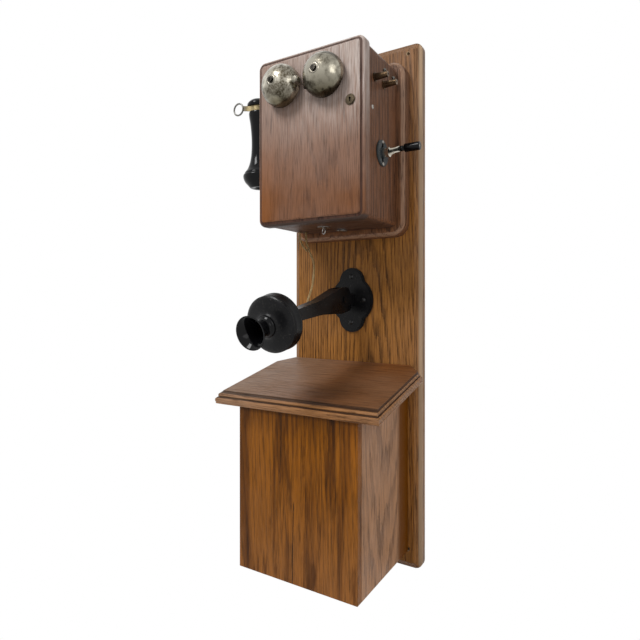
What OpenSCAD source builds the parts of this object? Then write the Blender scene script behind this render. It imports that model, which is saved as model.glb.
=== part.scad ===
// A magneto wall telephone: two oak boxes on one long backboard.
// X runs to the right and Y into the wall. The origin is the centre of the
// backboard's rear face. Heights in the source count from the board's lower edge.

/* [Backboard] */
// Width of the long board
board_w = 265; // [245:1:320]
// Height of the long board
board_h = 914; // [905:1:960]
// Thickness of the long board
board_t = 22; // [18:1:28]
// Corner radius of the long board
board_r = 14; // [13.5:0.5:20]
// Width of the board's moulded edge
board_edge = 13; // [10:0.5:13]
// How far the moulded edge falls back
board_fall = 7.5; // [4:0.5:10]
// Radius of the four wall-screw holes
wall_hole_r = 2.6; // [2:0.1:3.2]
// Screw holes in from the side edges
hole_in = 23; // [18:0.5:26]
// Upper screw holes down from the top edge
hole_down = 19; // [14:1:22]
// Lower screw holes up from the lower edge
hole_up = 35; // [20:1:45]

/* [Mounting board] */
// Width of the board behind the ringer box
sub_w = 224; // [216:1:240]
// Rise of that board above the ringer box
sub_over = 12; // [10:1:20]
// Drop of that board below the ringer box
sub_under = 14.6; // [8:0.1:16]
// Thickness of that board
sub_t = 24; // [18:1:30]
// Corner radius of that board
sub_r = 25; // [18:1:30]

/* [Ringer box] */
// Width of the ringer box
box_w = 193; // [186:1:198]
// Height of the ringer box
box_h = 273; // [268:1:285]
// Lower face of the ringer box above the board's lower edge
box_low = 592; // [585:1:600]
// Door's face ahead of the backboard's face
box_out = 150.7; // [148:0.1:160]
// Wall thickness of the ringer box
box_t = 12; // [10:0.5:13]
// Corner radius of the ringer box
box_r = 11; // [10:0.5:12]
// Door thickness
door_t = 19; // [17:0.5:21]
// Reach of the door past each side of the box
door_past = 4.5; // [1:0.5:6]
// Reach of the door past the top and the bottom of the box
door_over = 2; // [0:0.5:4]
// Gap between the door and the box
door_gap = 0.4; // [0.3:0.1:0.8]

/* [Gongs] */
// Gong radius
gong_r = 33.8; // [30:0.1:35]
// Gong height
gong_h = 31; // [26:0.5:33]
// Gong wall
gong_wall = 1.6; // [1.2:0.1:2.2]
// Space between the gong's mouth and the door
gong_off = 8; // [6:0.5:10]
// Distance between the gong centres
gong_gap = 79.6; // [78:0.1:84]
// Gong centres below the top of the ringer box
gong_drop = 53; // [47:1:56]
// Middle of the two gongs from the centre line
bell_x = -2.8; // [-5:0.1:0]
// Radius of the hammer
hammer_r = 6; // [4:0.1:6.2]
// Hammer below the gong centres
hammer_low = 4.5; // [0:0.5:6]

/* [Lock] */
// Lock in from the door's right edge
lock_in = 23; // [22:1:27]
// Lock below the top of the ringer box
lock_drop = 95; // [88:1:103]
// Escutcheon radius
escutcheon_r = 8.3; // [7:0.1:10]
// Throw of the bolt
bolt_throw = 5; // [4:0.5:6]

/* [Right side fittings] */
// Binding posts below the top of the ringer box
post_drop = 48; // [40:1:52]
// Front binding post ahead of the backboard's face
post_out = 105; // [100:1:108]
// Space between the two binding posts
post_pitch = 33; // [26:1:36]
// Length of a binding post
post_len = 23; // [20:1:26]
// Radius of the wire hole in a binding post
wire_hole_r = 1.5; // [1.2:0.1:1.8]
// Crank plate radius
plate_r = 21; // [20.5:0.5:25]
// Crank shaft above the lower face of the ringer box
crank_up = 112; // [108:0.5:120]
// Crank shaft ahead of the backboard's face
crank_out = 79; // [78:1:82]
// Crank shaft radius
shaft_r = 4; // [3.5:0.1:4.5]
// Throw of the crank
crank_throw = 24; // [22:0.5:28]
// Rise of the crank arm at rest, in degrees
crank_rise = 24; // [10:1:30]
// Grip radius
grip_r = 6.8; // [6:0.1:8]
// Grip length
grip_len = 36; // [34:0.5:42]

/* [Generator] */
// Gear module
gear_m = 1; // [0.95:0.01:1]
// Teeth on the drive gear
gear_teeth = 60; // [60]
// Teeth on the pinion
pinion_teeth = 12; // [12]
// Width of the gears
gear_w = 6; // [4:0.5:7]
// Radius of the wound armature
rotor_r = 18; // [15:0.5:19]
// Width of one magnet bar
magnet_w = 19; // [16:0.5:19]
// Thickness of a magnet bar
magnet_t = 11; // [9:0.5:11]
// Half the space between a magnet's legs
magnet_in = 25; // [24:0.5:26]

/* [Receiver] */
// Receiver's axis left of the centre line
rec_x = 147; // [146:0.1:152]
// Receiver's axis ahead of the backboard's face
rec_out = 88; // [84:1:92]
// Hook strap below the top of the ringer box
hook_drop = 49; // [44:1:60]
// Radius of the ear cap
ear_r = 30; // [28:0.5:31]
// Radius of the grip of the shell
neck_r = 14.6; // [13.5:0.1:15]
// Radius of the tail cap
tail_r = 22.7; // [21.5:0.1:24]
// Height of the groove for the hook above the ear cap's face
groove_z = 138; // [138:0.5:141]
// Radius of that groove
groove_r = 16; // [15:0.1:16.3]

/* [Switch hook] */
// Height of the hook strap
strap_h = 9; // [8:0.1:9.4]
// Thickness of the hook strap
strap_t = 2; // [1.6:0.1:2.4]
// Outer radius of the eye on the hook's tip
eye_r = 12; // [10:0.5:13]
// Wire radius of that eye
eye_wire = 1.5; // [1.2:0.1:1.8]
// Hook pivot in from the left side of the ringer box
pivot_in = 26.5; // [25:0.5:31]

/* [Transmitter] */
// Height of the pivot bolt
arm_z = 467.6; // [460:0.1:475]
// Pivot bolt ahead of the backboard's face
arm_out = 49.5; // [47:0.5:54]
// Fall of the arm below level, in degrees
arm_fall = 9.7; // [6:0.1:14]
// Length of the arm from pivot to cup
arm_len = 159.5; // [155:0.5:172]
// Half the height of the arm at its root
arm_root = 22; // [21:0.5:25]
// Half the height of the arm at its tip
arm_tip = 9; // [8:0.5:13]
// Tilt of the transmitter below level, in degrees
cup_fall = 12.4; // [8:0.1:16]
// Radius of the transmitter cup
cup_r = 42.5; // [40:0.5:45]
// Depth of the cup's straight wall
cup_deep = 18; // [15:0.5:22]
// Radius of the mouthpiece's rim
mouth_r = 24.5; // [22:0.5:27]
// Reach of the mouthpiece ahead of the cup's rim
mouth_out = 48; // [44:0.5:52]

/* [Battery box] */
// Width of the battery box
bat_w = 218.7; // [210:0.1:226]
// Front of the battery box ahead of the backboard's face
bat_out = 186.3; // [182:0.1:190]
// Lower face above the board's lower edge
bat_low = 32; // [28:1:40]
// Board thickness of the battery box
bat_t = 13; // [11:0.5:15]
// Height of a dry cell
cell_h = 152; // [145:1:160]
// Radius of a dry cell
cell_r = 33.3; // [32:0.1:34]

/* [Shelf] */
// Shelf width over the moulding
shelf_w = 303; // [296:1:308]
// Middle of the shelf from the centre line
shelf_x = -5.5; // [-7:0.5:0]
// Shelf's front edge ahead of the backboard's face
shelf_out = 196; // [194:0.5:202]
// Top of the shelf at the backboard
shelf_z = 355.7; // [350:0.1:360]
// Slope of the shelf, in degrees
shelf_slope = 12.6; // [10:0.1:14]
// Thickness of the shelf
shelf_t = 19; // [18:0.5:22]

/* [Hidden] */
$fn = 48;

oak = "#8a5a2c";
box_oak = "#6b4032";
nickel = "#b5ad98";
brass = "#9a7b45";
dark_iron = "#24262a";
ebonite = "#141416";
steel = "#8d8f92";
magnet_red = "#7c3b34";
cord_tan = "#8f6f4a";

play = 0.3;
running = 0.06;
box_top = box_low + box_h;
box_mid = box_low + box_h / 2;
door_w = box_w + 2 * door_past;
door_h = box_h + 2 * door_over;
door_r = box_r + 1.5;
lock_x = door_w / 2 - lock_in;
lock_z = box_top - lock_drop;
gong_z = box_top - gong_drop;
hammer_z = gong_z - hammer_low;
post_z = box_top - post_drop;
crank_z = box_low + crank_up;
door_face = -board_t - box_out;
door_back = door_face + door_t;
case_front = door_back + door_gap;
sub_face = -board_t - sub_t;
bell_low = door_face - gong_off;
hammer_y = bell_low - gong_h / 2;
clapper_z = gong_z - 34;
coil_y = door_back + 13;
coil_pitch = 40;
yoke_z = box_top - box_t - 15;
crank_y = -board_t - crank_out;
armature_z = crank_z - gear_m * (gear_teeth + pinion_teeth) / 2;
generator_right = box_w / 2 - box_t - 28;
generator_len = 3 * magnet_w + 2;
generator_left = generator_right - generator_len;
end_plate_t = 4;
gear_x = generator_right + end_plate_t + 4;
floor_z = box_low + box_t;
hook_y = -board_t - rec_out;
pivot_x = box_w / 2 - pivot_in;
hook_mid = box_top - hook_drop;
strap_z = hook_mid - strap_h / 2;
rec_z = strap_z - play - groove_z;
fork_r = groove_r + 1;
tail_z = groove_z + strap_h + 2 * play;
arm_y = -board_t - arm_out;
lug_t = 12;
arm_half = 11;
arm_tip_half = 8;
pivot_r = 3;
bat_face = -board_t - bat_out;
bat_inner = bat_face + bat_t;
shelf_rear = -board_t - 2.6;
hinge_r = 2.5;
hinge_pin_r = 1.2;
hinge_len = 38;
leaf_t = 1.1;
door_hinge_x = -door_w / 2 - hinge_r - play;
door_hinge_y = (door_back + case_front) / 2;
door_hinge_z = [box_low + 46, box_top - 46];
lid_hinge_y = -board_t - hinge_r - play;
lid_hinge_z = shelf_z - 4.6;
lid_hinge_x = [-70, 70];
cord_r = 1.7;

// The cord's routes, by hand, for a ringer box 193 wide and with heights from the middle
// of a board 914 high. They follow the box in from the side.
function routed(points) = [for (p = points) [p[0] * (box_w - 51) / 142, p[1], p[2] + 457]];
long_route = routed([[-71, -70, 134.4], [-71, -70, 129], [-70, -71, 121], [-66, -74, 111],
    [-59, -78, 100], [-51, -83, 89.5], [-42.5, -89, 78], [-37, -95.5, 66.5],
    [-33.5, -102, 56], [-30, -109.5, 44.5], [-27, -117, 34.5], [-24.5, -126, 24.5],
    [-22.5, -134, 15.5], [-20.5, -140.5, 9.2], [-18, -144, 6], [-15.8, -145, 5],
    [-13.2, -145, 5]]);
short_route = routed([[-81, -76, 134.4], [-81, -76, 130], [-80, -76.5, 123], [-76, -77.5, 114],
    [-69.8, -79.6, 106.5], [-62, -80.2, 99.4]]);

// Moves a piece that is drawn from the board's lower edge into the part's frame.
module from_foot() { translate([0, 0, -board_h / 2]) children(); }

// Round stock along X, Y towards the room, or Z, that starts at a point.
module rod_x(at, r, len) { translate(at) rotate([0, 90, 0]) cylinder(r = r, h = len); }
module rod_out(at, r, len) { translate(at) rotate([90, 0, 0]) cylinder(r = r, h = len); }
module rod_z(at, r, len) { translate(at) cylinder(r = r, h = len); }

// A block from one corner to the opposite one.
module block(low, high) { translate(low) cube(high - low); }

// Corner arcs of a round-cornered rectangle, counterclockwise.
function rounded(w, h, r, steps = 6) = [for (c = [[1, 1, 0], [-1, 1, 90], [-1, -1, 180],
    [1, -1, 270]]) for (i = [0 : steps])
    [c[0] * (w / 2 - r) + r * cos(c[2] + 90 * i / steps),
     c[1] * (h / 2 - r) + r * sin(c[2] + 90 * i / steps)]];

// A closed solid through rings of points, each ring with as many points as the first.
module loft(rings) {
    n = len(rings[0]);
    m = len(rings);
    polyhedron(
        points = [for (ring = rings) for (p = ring) p],
        faces = concat(
            [[for (i = [0 : n - 1]) i]],
            [for (k = [0 : m - 2]) for (i = [0 : n - 1]) each
                [[k * n + i, (k + 1) * n + i, (k + 1) * n + (i + 1) % n],
                 [k * n + i, (k + 1) * n + (i + 1) % n, k * n + (i + 1) % n]]],
            [[for (i = [n - 1 : -1 : 0]) (m - 1) * n + i]]),
        convexity = 4);
}

// A board with round corners and a moulded edge, standing on its middle, rear at y = 0.
// Each pair in edge is how far in from the outline and how far out from the rear.
module moulded_board(w, h, r, edge) {
    rotate([90, 0, 0])
        loft([for (e = edge)
            [for (p = rounded(w - 2 * e[0], h - 2 * e[0], max(r - e[0], 0.6)))
                [p[0], p[1], e[1]]]]);
}

// A tube along a route. The reference direction never lies along the route.
function unit(v) = v / norm(v);
function heading(route, i) = unit(route[min(i + 1, len(route) - 1)] - route[max(i - 1, 0)]);
module tube(route, r, sides = 8) {
    loft([for (i = [0 : len(route) - 1])
        let (t = heading(route, i), u = unit(cross([0, 1, 0], t)), v = cross(t, u))
        [for (k = [0 : sides - 1])
            route[i] + r * (cos(360 * k / sides) * u + sin(360 * k / sides) * v)]]);
}

// Involute gear outline with a tooth on +Y when shift is 0 and a gap there when it is 1.
function involute(base, roll) = [base * (cos(roll) + roll * PI / 180 * sin(roll)),
    base * (sin(roll) - roll * PI / 180 * cos(roll))];
function turned(p, a) = [p[0] * cos(a) - p[1] * sin(a), p[0] * sin(a) + p[1] * cos(a)];
function roll_at(base, r) = sqrt(max(0, pow(r / base, 2) - 1)) * 180 / PI;
function gear_points(teeth, m, shift) =
    let (pitch = teeth * m / 2, angle = 25, base = pitch * cos(angle),
        tip = pitch + 0.8 * m, root = pitch - 1.1 * m,
        slack = 0.09 / pitch * 180 / PI,
        half = 90 / teeth + (tan(angle) * 180 / PI - angle) - slack,
        start = max(base, root), first = roll_at(base, start), last = roll_at(base, tip))
    [for (t = [0 : teeth - 1])
        let (mid = 90 + 360 * (t + shift / 2) / teeth)
        each concat(
            root < base ? [turned([root, 0], mid - half)] : [],
            [for (s = [0 : 3]) turned(involute(base, first + (last - first) * s / 3), mid - half)],
            [for (s = [3 : -1 : 0])
                let (p = involute(base, first + (last - first) * s / 3))
                turned([p[0], -p[1]], mid + half)],
            root < base ? [turned([root, 0], mid + half)] : [])];

// Edge of the long board: a step and a soft slope back to a round outer edge.
board_edges = [[0.8, 0], [0, 0.8], [0, board_t - board_fall - 3], [0.9, board_t - board_fall - 0.9],
    [3, board_t - board_fall], [board_edge - 4, board_t - 3.4], [board_edge - 1.2, board_t - 2],
    [board_edge - 1, board_t - 0.5], [board_edge, board_t]];
sub_edges = [[0, 0], [0, sub_t - 10], [1.2, sub_t - 9.6], [1.2, sub_t - 8.8], [0.5, sub_t - 8.2],
    [0.5, sub_t - 7], [1.2, sub_t - 5.2], [2.6, sub_t - 3.5], [4.6, sub_t - 2], [7, sub_t - 1],
    [9.5, sub_t - 0.4], [12, sub_t]];
door_edges = [[0, 0], [0, door_t - 8], [0.25, door_t - 6.4], [0.9, door_t - 5.1],
    [1.9, door_t - 4], [3.2, door_t - 3.2], [4.7, door_t - 2.8], [7.4, door_t - 2.6],
    [7.7, door_t - 1.7], [10.7, door_t]];

module backboard() {
    color(oak) difference() {
        moulded_board(board_w, board_h, board_r, board_edges);
        from_foot() {
            for (side = [-1, 1], z = [hole_up, board_h - hole_down])
                rod_out([side * (board_w / 2 - hole_in), 1, z], wall_hole_r, board_t + 2);
            for (s = plate_screws_at)
                rod_out([s[0], -board_t + screw_grip, arm_z + s[1]], screw_r, screw_grip + 1);
        }
    }
}

module sub_base() {
    color(box_oak) from_foot()
        translate([0, -board_t, box_mid + (sub_over - sub_under) / 2])
            moulded_board(sub_w, box_h + sub_over + sub_under, sub_r, sub_edges);
}

// The ringer box is one round-cornered tube, mitred at its corners into four boards.
module ringer_tube() {
    translate([0, sub_face, box_mid]) rotate([90, 0, 0])
        linear_extrude(height = sub_face - case_front) difference() {
            round_square(box_w, box_h, box_r);
            square([box_w - 2 * box_t, box_h - 2 * box_t], center = true);
        }
}
module round_square(w, h, r) {
    square([w - 2 * r, h], center = true);
    square([w, h - 2 * r], center = true);
    for (x = [-1, 1], y = [-1, 1]) translate([x * (w / 2 - r), y * (h / 2 - r)]) circle(r = r);
}
// A wedge that keeps the board on one side: 0 right, 90 top, 180 left, 270 bottom.
module mitre(side) {
    reach = 400;
    w = (side % 180 == 0) ? box_w : box_h;
    h = (side % 180 == 0) ? box_h : box_w;
    translate([0, 0, box_mid]) rotate([90, 0, 0]) translate([0, 0, -reach / 2 + 150])
        linear_extrude(height = reach) rotate(side)
            polygon([[w / 2 - h / 2, 0], [w / 2 + 5, h / 2 + 5], [w / 2 + 5, -h / 2 - 5]]);
}
module ringer_board(side) { intersection() { ringer_tube(); mitre(side); } }

hook_slot_h = strap_h + 8;
module hook_slot(low, high) {
    block([low, hook_y - 2.5, hook_mid - strap_h / 2 - 1], [high, hook_y + 2.5,
        hook_mid - strap_h / 2 - 1 + hook_slot_h]);
}

module ringer_side_left() {
    color(box_oak) from_foot() difference() {
        ringer_board(180);
        hook_slot(-box_w / 2 - 1, -box_w / 2 + box_t + 1);
    }
}

module ringer_side_right() {
    color(box_oak) from_foot() difference() {
        ringer_board(0);
        rod_x([box_w / 2 - box_t - 1, crank_y, crank_z], shaft_r + 2, box_t + 2);
        block([box_w / 2 - box_t - 1, bolt_y - 2.3, lock_z - 6],
            [box_w / 2 - box_t + bolt_throw + 1, bolt_y + 2.3, lock_z + 6]);
        for (k = [0, 1]) rod_x([box_w / 2 - box_t - 1, post_y(k), post_z],
            post_stud_r + running, box_t + 2);
        for (s = side_screws) rod_x([box_w / 2 - 7, s[0], s[1]], screw_r, 8);
    }
}

module ringer_top() { color(box_oak) from_foot() ringer_board(90); }

module ringer_bottom() {
    color(box_oak) from_foot() difference() {
        ringer_board(270);
        for (p = [long_route[0], short_route[0]])
            rod_z([p[0], p[1], box_low - 1], ferrule_r, box_t + 2);
        rod_z([eye_at[0], eye_at[1], box_low - 1], 2, 9);
        rod_z([button_at[0], button_at[1], box_low - 1], 2, 9);
    }
}
ferrule_r = 3.6;
eye_at = [-9, -108];
button_at = [2, -65];

// Door, hinged on its left edge, and what rides on it.
module door_panel() {
    color(box_oak) from_foot() difference() {
        translate([0, door_back, box_mid]) moulded_board(door_w, door_h, door_r, door_edges);
        for (x = gong_xs) rod_out([x, door_back + 1, gong_z], 3, door_t + 2);
        rod_out([bell_x, door_back + 1, hammer_z], hammer_slot_r, door_t + 2);
        rod_out([lock_x, door_back + 1, lock_z], 4, door_t + 2);
    }
}
gong_xs = [bell_x - gong_gap / 2, bell_x + gong_gap / 2];

// A hinge knuckle and its leaf. The leaf lies on the plane x = 0 and runs along +Y.
module knuckle(low, high) {
    difference() {
        rod_z([0, 0, low], hinge_r, high - low);
        rod_z([0, 0, low - 1], hinge_pin_r + running, high - low + 2);
    }
}
module outer_knuckles(reach) {
    third = hinge_len / 3;
    for (z = [0, 2 * third]) {
        knuckle(z, z + third - play);
        difference() {
            block([hinge_r + play - leaf_t, 0, z], [hinge_r + play, reach, z + third - play]);
            rod_z([0, 0, z - 1], hinge_r - 0.5, third + 2);
        }
    }
    block([hinge_r + play - leaf_t, hinge_r + 1, 0], [hinge_r + play, reach, hinge_len - play]);
}
module inner_knuckle(reach) {
    third = hinge_len / 3;
    knuckle(third, 2 * third - play);
    difference() {
        block([hinge_r + play - leaf_t, -reach, third], [hinge_r + play, 0, 2 * third - play]);
        rod_z([0, 0, third - 1], hinge_r - 0.5, third + 2);
    }
    block([hinge_r + play - leaf_t, -reach, 0], [hinge_r + play, -hinge_r - 1, hinge_len - play]);
}
// Puts a hinge that is drawn upright at the shelf's rear, its length along X.
module at_lid_hinge(x) {
    translate([x - hinge_len / 2, lid_hinge_y, lid_hinge_z]) rotate([0, 90, 0]) rotate([0, 0, 90])
        children();
}

module fixed_hinge_leaves() {
    color(brass) from_foot() {
        for (z = door_hinge_z) translate([door_hinge_x, door_hinge_y, z - hinge_len / 2]) {
            near = hinge_r + play - leaf_t;
            outer_knuckles(7);
            block([near, 5.8, 0], [near + door_past + leaf_t, 7, hinge_len - play]);
            block([near + door_past, 5.8, 0], [near + door_past + leaf_t, 18, hinge_len - play]);
        }
        for (x = lid_hinge_x) at_lid_hinge(x) lid_fixed_leaf();
    }
}
// Both leaves of a lid hinge hang down, one on the backboard and one on the lid's rear edge.
module lid_fixed_leaf() {
    third = hinge_len / 3;
    near = hinge_r + play - leaf_t;
    for (z = [0, 2 * third]) {
        knuckle(z, z + third - play);
        difference() {
            block([near, -16, z], [near + leaf_t, 0, z + third - play]);
            rod_z([0, 0, z - 1], hinge_r - 0.5, third + 2);
        }
    }
    block([near, -16, 0], [near + leaf_t, -hinge_r - 1, hinge_len - play]);
}
module lid_moving_leaf() {
    third = hinge_len / 3;
    far = shelf_rear - lid_hinge_y;
    knuckle(third, 2 * third - play);
    difference() {
        block([far, -14, third], [far + lid_leaf_t, 0, 2 * third - play]);
        rod_z([0, 0, third - 1], hinge_r - 0.5, third + 2);
    }
    block([far, -14, 0], [far + lid_leaf_t, -hinge_r - 1, hinge_len - play]);
}
lid_leaf_t = 0.9;
module lid_hinge_leaves() {
    color(brass) from_foot() for (x = lid_hinge_x) at_lid_hinge(x) lid_moving_leaf();
}
module door_hinge_leaves() {
    color(brass) from_foot() for (z = door_hinge_z)
        translate([door_hinge_x, door_hinge_y, z - hinge_len / 2]) inner_knuckle(9);
}
module hinge_pins() {
    color(steel) from_foot() {
        for (z = door_hinge_z)
            rod_z([door_hinge_x, door_hinge_y, z - hinge_len / 2 - 1], hinge_pin_r, hinge_len + 2);
        for (x = lid_hinge_x) at_lid_hinge(x) rod_z([0, 0, -1], hinge_pin_r, hinge_len + 2);
    }
}

// Gongs: thin shells whose profile is a skirt and an oval dome.
function dome(r, h, skirt, steps = 8) = concat([[r, 0]],
    [for (i = [0 : steps - 1]) [r * cos(90 * i / steps), skirt + (h - skirt) * sin(90 * i / steps)]]);
module gong(x) {
    steps = 8;
    outside = dome(gong_r, gong_h, gong_skirt, steps);
    inside = dome(gong_r - gong_wall, gong_h - gong_wall, gong_skirt, steps);
    hole_r = gong_screw_r + play;
    translate([x, bell_low, gong_z]) rotate([90, 0, 0]) rotate_extrude($fn = 72)
        polygon(concat(
            [[hole_r, gong_h + gong_boss], [7.2, gong_h + gong_boss], [7.8, gong_h - 0.6]],
            [for (i = [steps - 1 : -1 : 0]) outside[i]], inside, [[hole_r, gong_seat]]));
}
gong_boss = 0.8;
gong_screw_r = 2;
gong_skirt = 3;
gong_seat = gong_skirt + (gong_h - gong_wall - gong_skirt) * sin(90 * 7 / 8);
module gong_left() { color(nickel) from_foot() gong(gong_xs[0]); }
module gong_right() { color(nickel) from_foot() gong(gong_xs[1]); }
module gong_posts() {
    color(steel) from_foot() for (x = gong_xs) difference() {
        union() {
            rod_out([x, door_face, gong_z], 5.5, gong_off + gong_seat);
            rod_out([x, door_face, gong_z], 9, 2.5);
            rod_out([x, door_back + 5, gong_z], 3, door_t + 5);
            rod_out([x, door_back + 4, gong_z], 5.5, 4);
        }
        rod_out([x, bell_low - gong_h + 10, gong_z], gong_screw_r, 20);
    }
}
module gong_screws() {
    color(dark_iron) from_foot() for (x = gong_xs) {
        rod_out([x, bell_low - gong_h + 9, gong_z], gong_screw_r, 9 + 0.8);
        difference() {
            rod_out([x, bell_low - gong_h - 0.8, gong_z], 4.3, 2.2);
            block([x - 0.6, bell_low - gong_h - 4, gong_z - 6],
                [x + 0.6, bell_low - gong_h - 2, gong_z + 6]);
        }
    }
}

// Lock on the inside of the door. At rest the bolt is drawn back.
bolt_y = door_back + 5;
lock_right = box_w / 2 - box_t - 2.5;
module lock_case() {
    color(brass) from_foot() difference() {
        block([lock_right - 27, door_back, lock_z - 15], [lock_right, door_back + 10, lock_z + 15]);
        block([lock_right - 25, bolt_y - 1.8, lock_z - 5.3], [lock_right + 1, bolt_y + 1.8, lock_z + 5.3]);
        rod_out([lock_x, bolt_y - 1, lock_z], 3, 10);
    }
}
module lock_bolt() {
    color(steel) from_foot()
        block([lock_right - 19, bolt_y - 1.5, lock_z - 5], [lock_right - 0.2, bolt_y + 1.5, lock_z + 5]);
}
module lock_escutcheon() {
    color(brass) from_foot() difference() {
        union() {
            rod_out([lock_x, door_face, lock_z], escutcheon_r, 1.2);
            rod_out([lock_x, door_face, lock_z], escutcheon_r - 1.2, 2.2);
            rod_out([lock_x, door_face + door_t - 2, lock_z], 3.9, door_t);
        }
        rod_out([lock_x, door_face + door_t, lock_z + 1.6], 1.7, door_t + 4);
        block([lock_x - 0.8, door_face - 4, lock_z - 3.2], [lock_x + 0.8, door_face + door_t, lock_z + 1.6]);
    }
}

// Ringer on the inside of the door.
module ringer_frame() {
    color(steel) from_foot() {
        block([bell_x - 32, coil_y - 9, yoke_z], [bell_x + 32, coil_y + 9, yoke_z + 4]);
        difference() {
            block([bell_x - 30, door_back, clapper_z - 9], [bell_x + 30, door_back + 2, yoke_z + 4]);
            rod_out([bell_x, door_back + 3, clapper_z], clapper_r + running, 4);
            rod_out([bell_x, door_back + 3, hammer_z], hammer_slot_r, 4);
            for (x = gong_xs) rod_out([x, door_back + 3, gong_z], 7, 4);
        }
        block([bell_x - 30, door_back + 2, yoke_z], [bell_x + 30, coil_y - 9, yoke_z + 4]);
    }
}
clapper_r = 1.5;
hammer_slot_r = 4.6;
coil_low = clapper_z + 7.7;
module ringer_coils() {
    color("#3f5a3a") from_foot() for (side = [-1, 1]) {
        rod_z([bell_x + side * coil_pitch / 2, coil_y, coil_low], 8.8, yoke_z - coil_low - 2);
        rod_z([bell_x + side * coil_pitch / 2, coil_y, clapper_z + 5], 3.5, yoke_z - clapper_z - 5);
    }
}
module ringer_magnet() {
    color(magnet_red) from_foot()
        block([bell_x - 8, coil_y + 9, clapper_z - 4], [bell_x + 8, coil_y + 14, yoke_z + 4]);
}
module clapper() {
    rod_y = door_back + 6;
    color(steel) from_foot() {
        rod_out([bell_x, coil_y + 5, clapper_z], clapper_r, coil_y + 5 - door_back - play);
        difference() {
            block([bell_x - 24, coil_y - 4, clapper_z - 2], [bell_x + 24, coil_y + 4, clapper_z + 2]);
            rod_out([bell_x, coil_y + 6, clapper_z], clapper_r - 0.2, 12);
        }
        rod_z([bell_x, rod_y, clapper_z], clapper_r - 0.3, hammer_z - clapper_z);
        translate([bell_x, rod_y, hammer_z]) sphere(r = clapper_r);
        rod_out([bell_x, rod_y, hammer_z], clapper_r - 0.3, rod_y - hammer_y);
        translate([bell_x, hammer_y + 3.7, hammer_z]) rotate([90, 0, 0]) rotate_extrude()
            polygon([[0, 0], [hammer_r - 2.4, 0], [hammer_r - 0.8, 1], [hammer_r, 3],
                [hammer_r, 10], [hammer_r - 0.8, 12], [hammer_r - 2.4, 13], [0, 13]]);
    }
}

// Right side: binding posts, crank plate and a small screw.
function post_y(k) = -board_t - post_out + k * post_pitch;
post_stud_r = 2.5;
module binding_posts() {
    color(brass) from_foot() for (k = [0, 1]) translate([box_w / 2, post_y(k), post_z])
        rotate([0, 90, 0]) difference() {
            union() {
                cylinder(r = 7, h = 1.6);
                cylinder(r1 = 5.6, r2 = 4.4, h = post_len - 3, $fn = 48);
                translate([0, 0, post_len - 5]) cylinder(r = 4.4, h = 5);
                translate([0, 0, -box_t - 6]) cylinder(r = post_stud_r, h = box_t + 7);
                translate([0, 0, -box_t - 4]) cylinder(r = 5, h = 4);
            }
            translate([0, 0, post_len - 10]) cylinder(r = wire_hole_r, h = 11);
            translate([-10, 0, post_len - 6]) rotate([0, 90, 0]) cylinder(r = 1.5, h = 9.6);
        }
}
module binding_post_screws() {
    color(dark_iron) from_foot() for (k = [0, 1]) translate([box_w / 2 + post_len - 6, post_y(k),
        post_z + wire_hole_r + 0.6]) {
            cylinder(r = 1.5, h = 5);
            translate([0, 0, 3.6]) cylinder(r = 2.6, h = 3);
        }
}
plate_screw_off = 17.5;
screw_r = 1.6;
screw_grip = 8;
side_screws = [[crank_y, crank_z + plate_screw_off], [crank_y, crank_z - plate_screw_off],
    [-board_t - 112, box_low + 176]];
module crank_plate() {
    color(dark_iron) from_foot() difference() {
        union() {
            rod_x([box_w / 2, crank_y, crank_z], plate_r, 2);
            rod_x([box_w / 2 + 2, crank_y, crank_z], plate_r - 1.5, 0.8);
            rod_x([box_w / 2, crank_y, crank_z], 9, 5);
        }
        rod_x([box_w / 2 - 1, crank_y, crank_z], shaft_r + running, 9);
        for (side = [-1, 1]) rod_x([box_w / 2 - 1, crank_y, crank_z + side * plate_screw_off], screw_r, 5);
    }
}
// A round-head wood screw along -Y from the face that it holds, with a slot.
module wood_screw(head_r, shank) {
    rotate([90, 0, 0]) {
        translate([0, 0, -shank]) cylinder(r = screw_r, h = shank + 0.5);
        difference() {
            intersection() {
                cylinder(r = head_r, h = head_r * 0.55);
                translate([0, 0, -head_r * 0.85]) sphere(r = head_r * 1.35);
            }
            translate([-head_r, -0.4, head_r * 0.3]) cube([2 * head_r, 0.8, head_r]);
        }
    }
}
module round_head_screws() {
    color(dark_iron) from_foot() {
        for (k = [0, 1]) translate([box_w / 2 + 2.8, side_screws[k][0], side_screws[k][1]])
            rotate([0, 0, 90]) wood_screw(3, 9);
        translate([box_w / 2, side_screws[2][0], side_screws[2][1]]) rotate([0, 0, 90]) wood_screw(3.6, 6);
        for (s = plate_screws_at) translate([s[0], -board_t - plate_t, arm_z + s[1]])
            wood_screw(4, plate_t + screw_grip);
    }
}

// Generator: frame, magnets, wound armature and gears.
module generator_frame() {
    low = crank_y - magnet_in - magnet_t;
    high = crank_y + magnet_in + magnet_t;
    leg = armature_z - rotor_r - 5;
    color(steel) from_foot() {
        block([generator_left - end_plate_t, low, floor_z],
            [generator_right + end_plate_t, high, floor_z + 4]);
        for (x = [generator_left - end_plate_t, generator_right]) difference() {
            block([x, crank_y - magnet_in, floor_z + 4],
                [x + end_plate_t, crank_y + magnet_in, crank_z + 13]);
            rod_x([x - 1, crank_y, crank_z], shaft_r + running, end_plate_t + 2);
            rod_x([x - 1, crank_y, armature_z], rotor_shaft_r + running, end_plate_t + 2);
        }
        for (y = [low, crank_y + magnet_in]) block([generator_left, y, floor_z + 4],
            [generator_right, y + magnet_t, leg]);
        difference() {
            block([generator_left, crank_y - magnet_in, leg], [generator_right, crank_y + magnet_in,
                armature_z + rotor_r - 4]);
            rod_x([generator_left - 1, crank_y, armature_z], rotor_r + 0.8, generator_len + 2);
        }
    }
}
rotor_shaft_r = 3;
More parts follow.
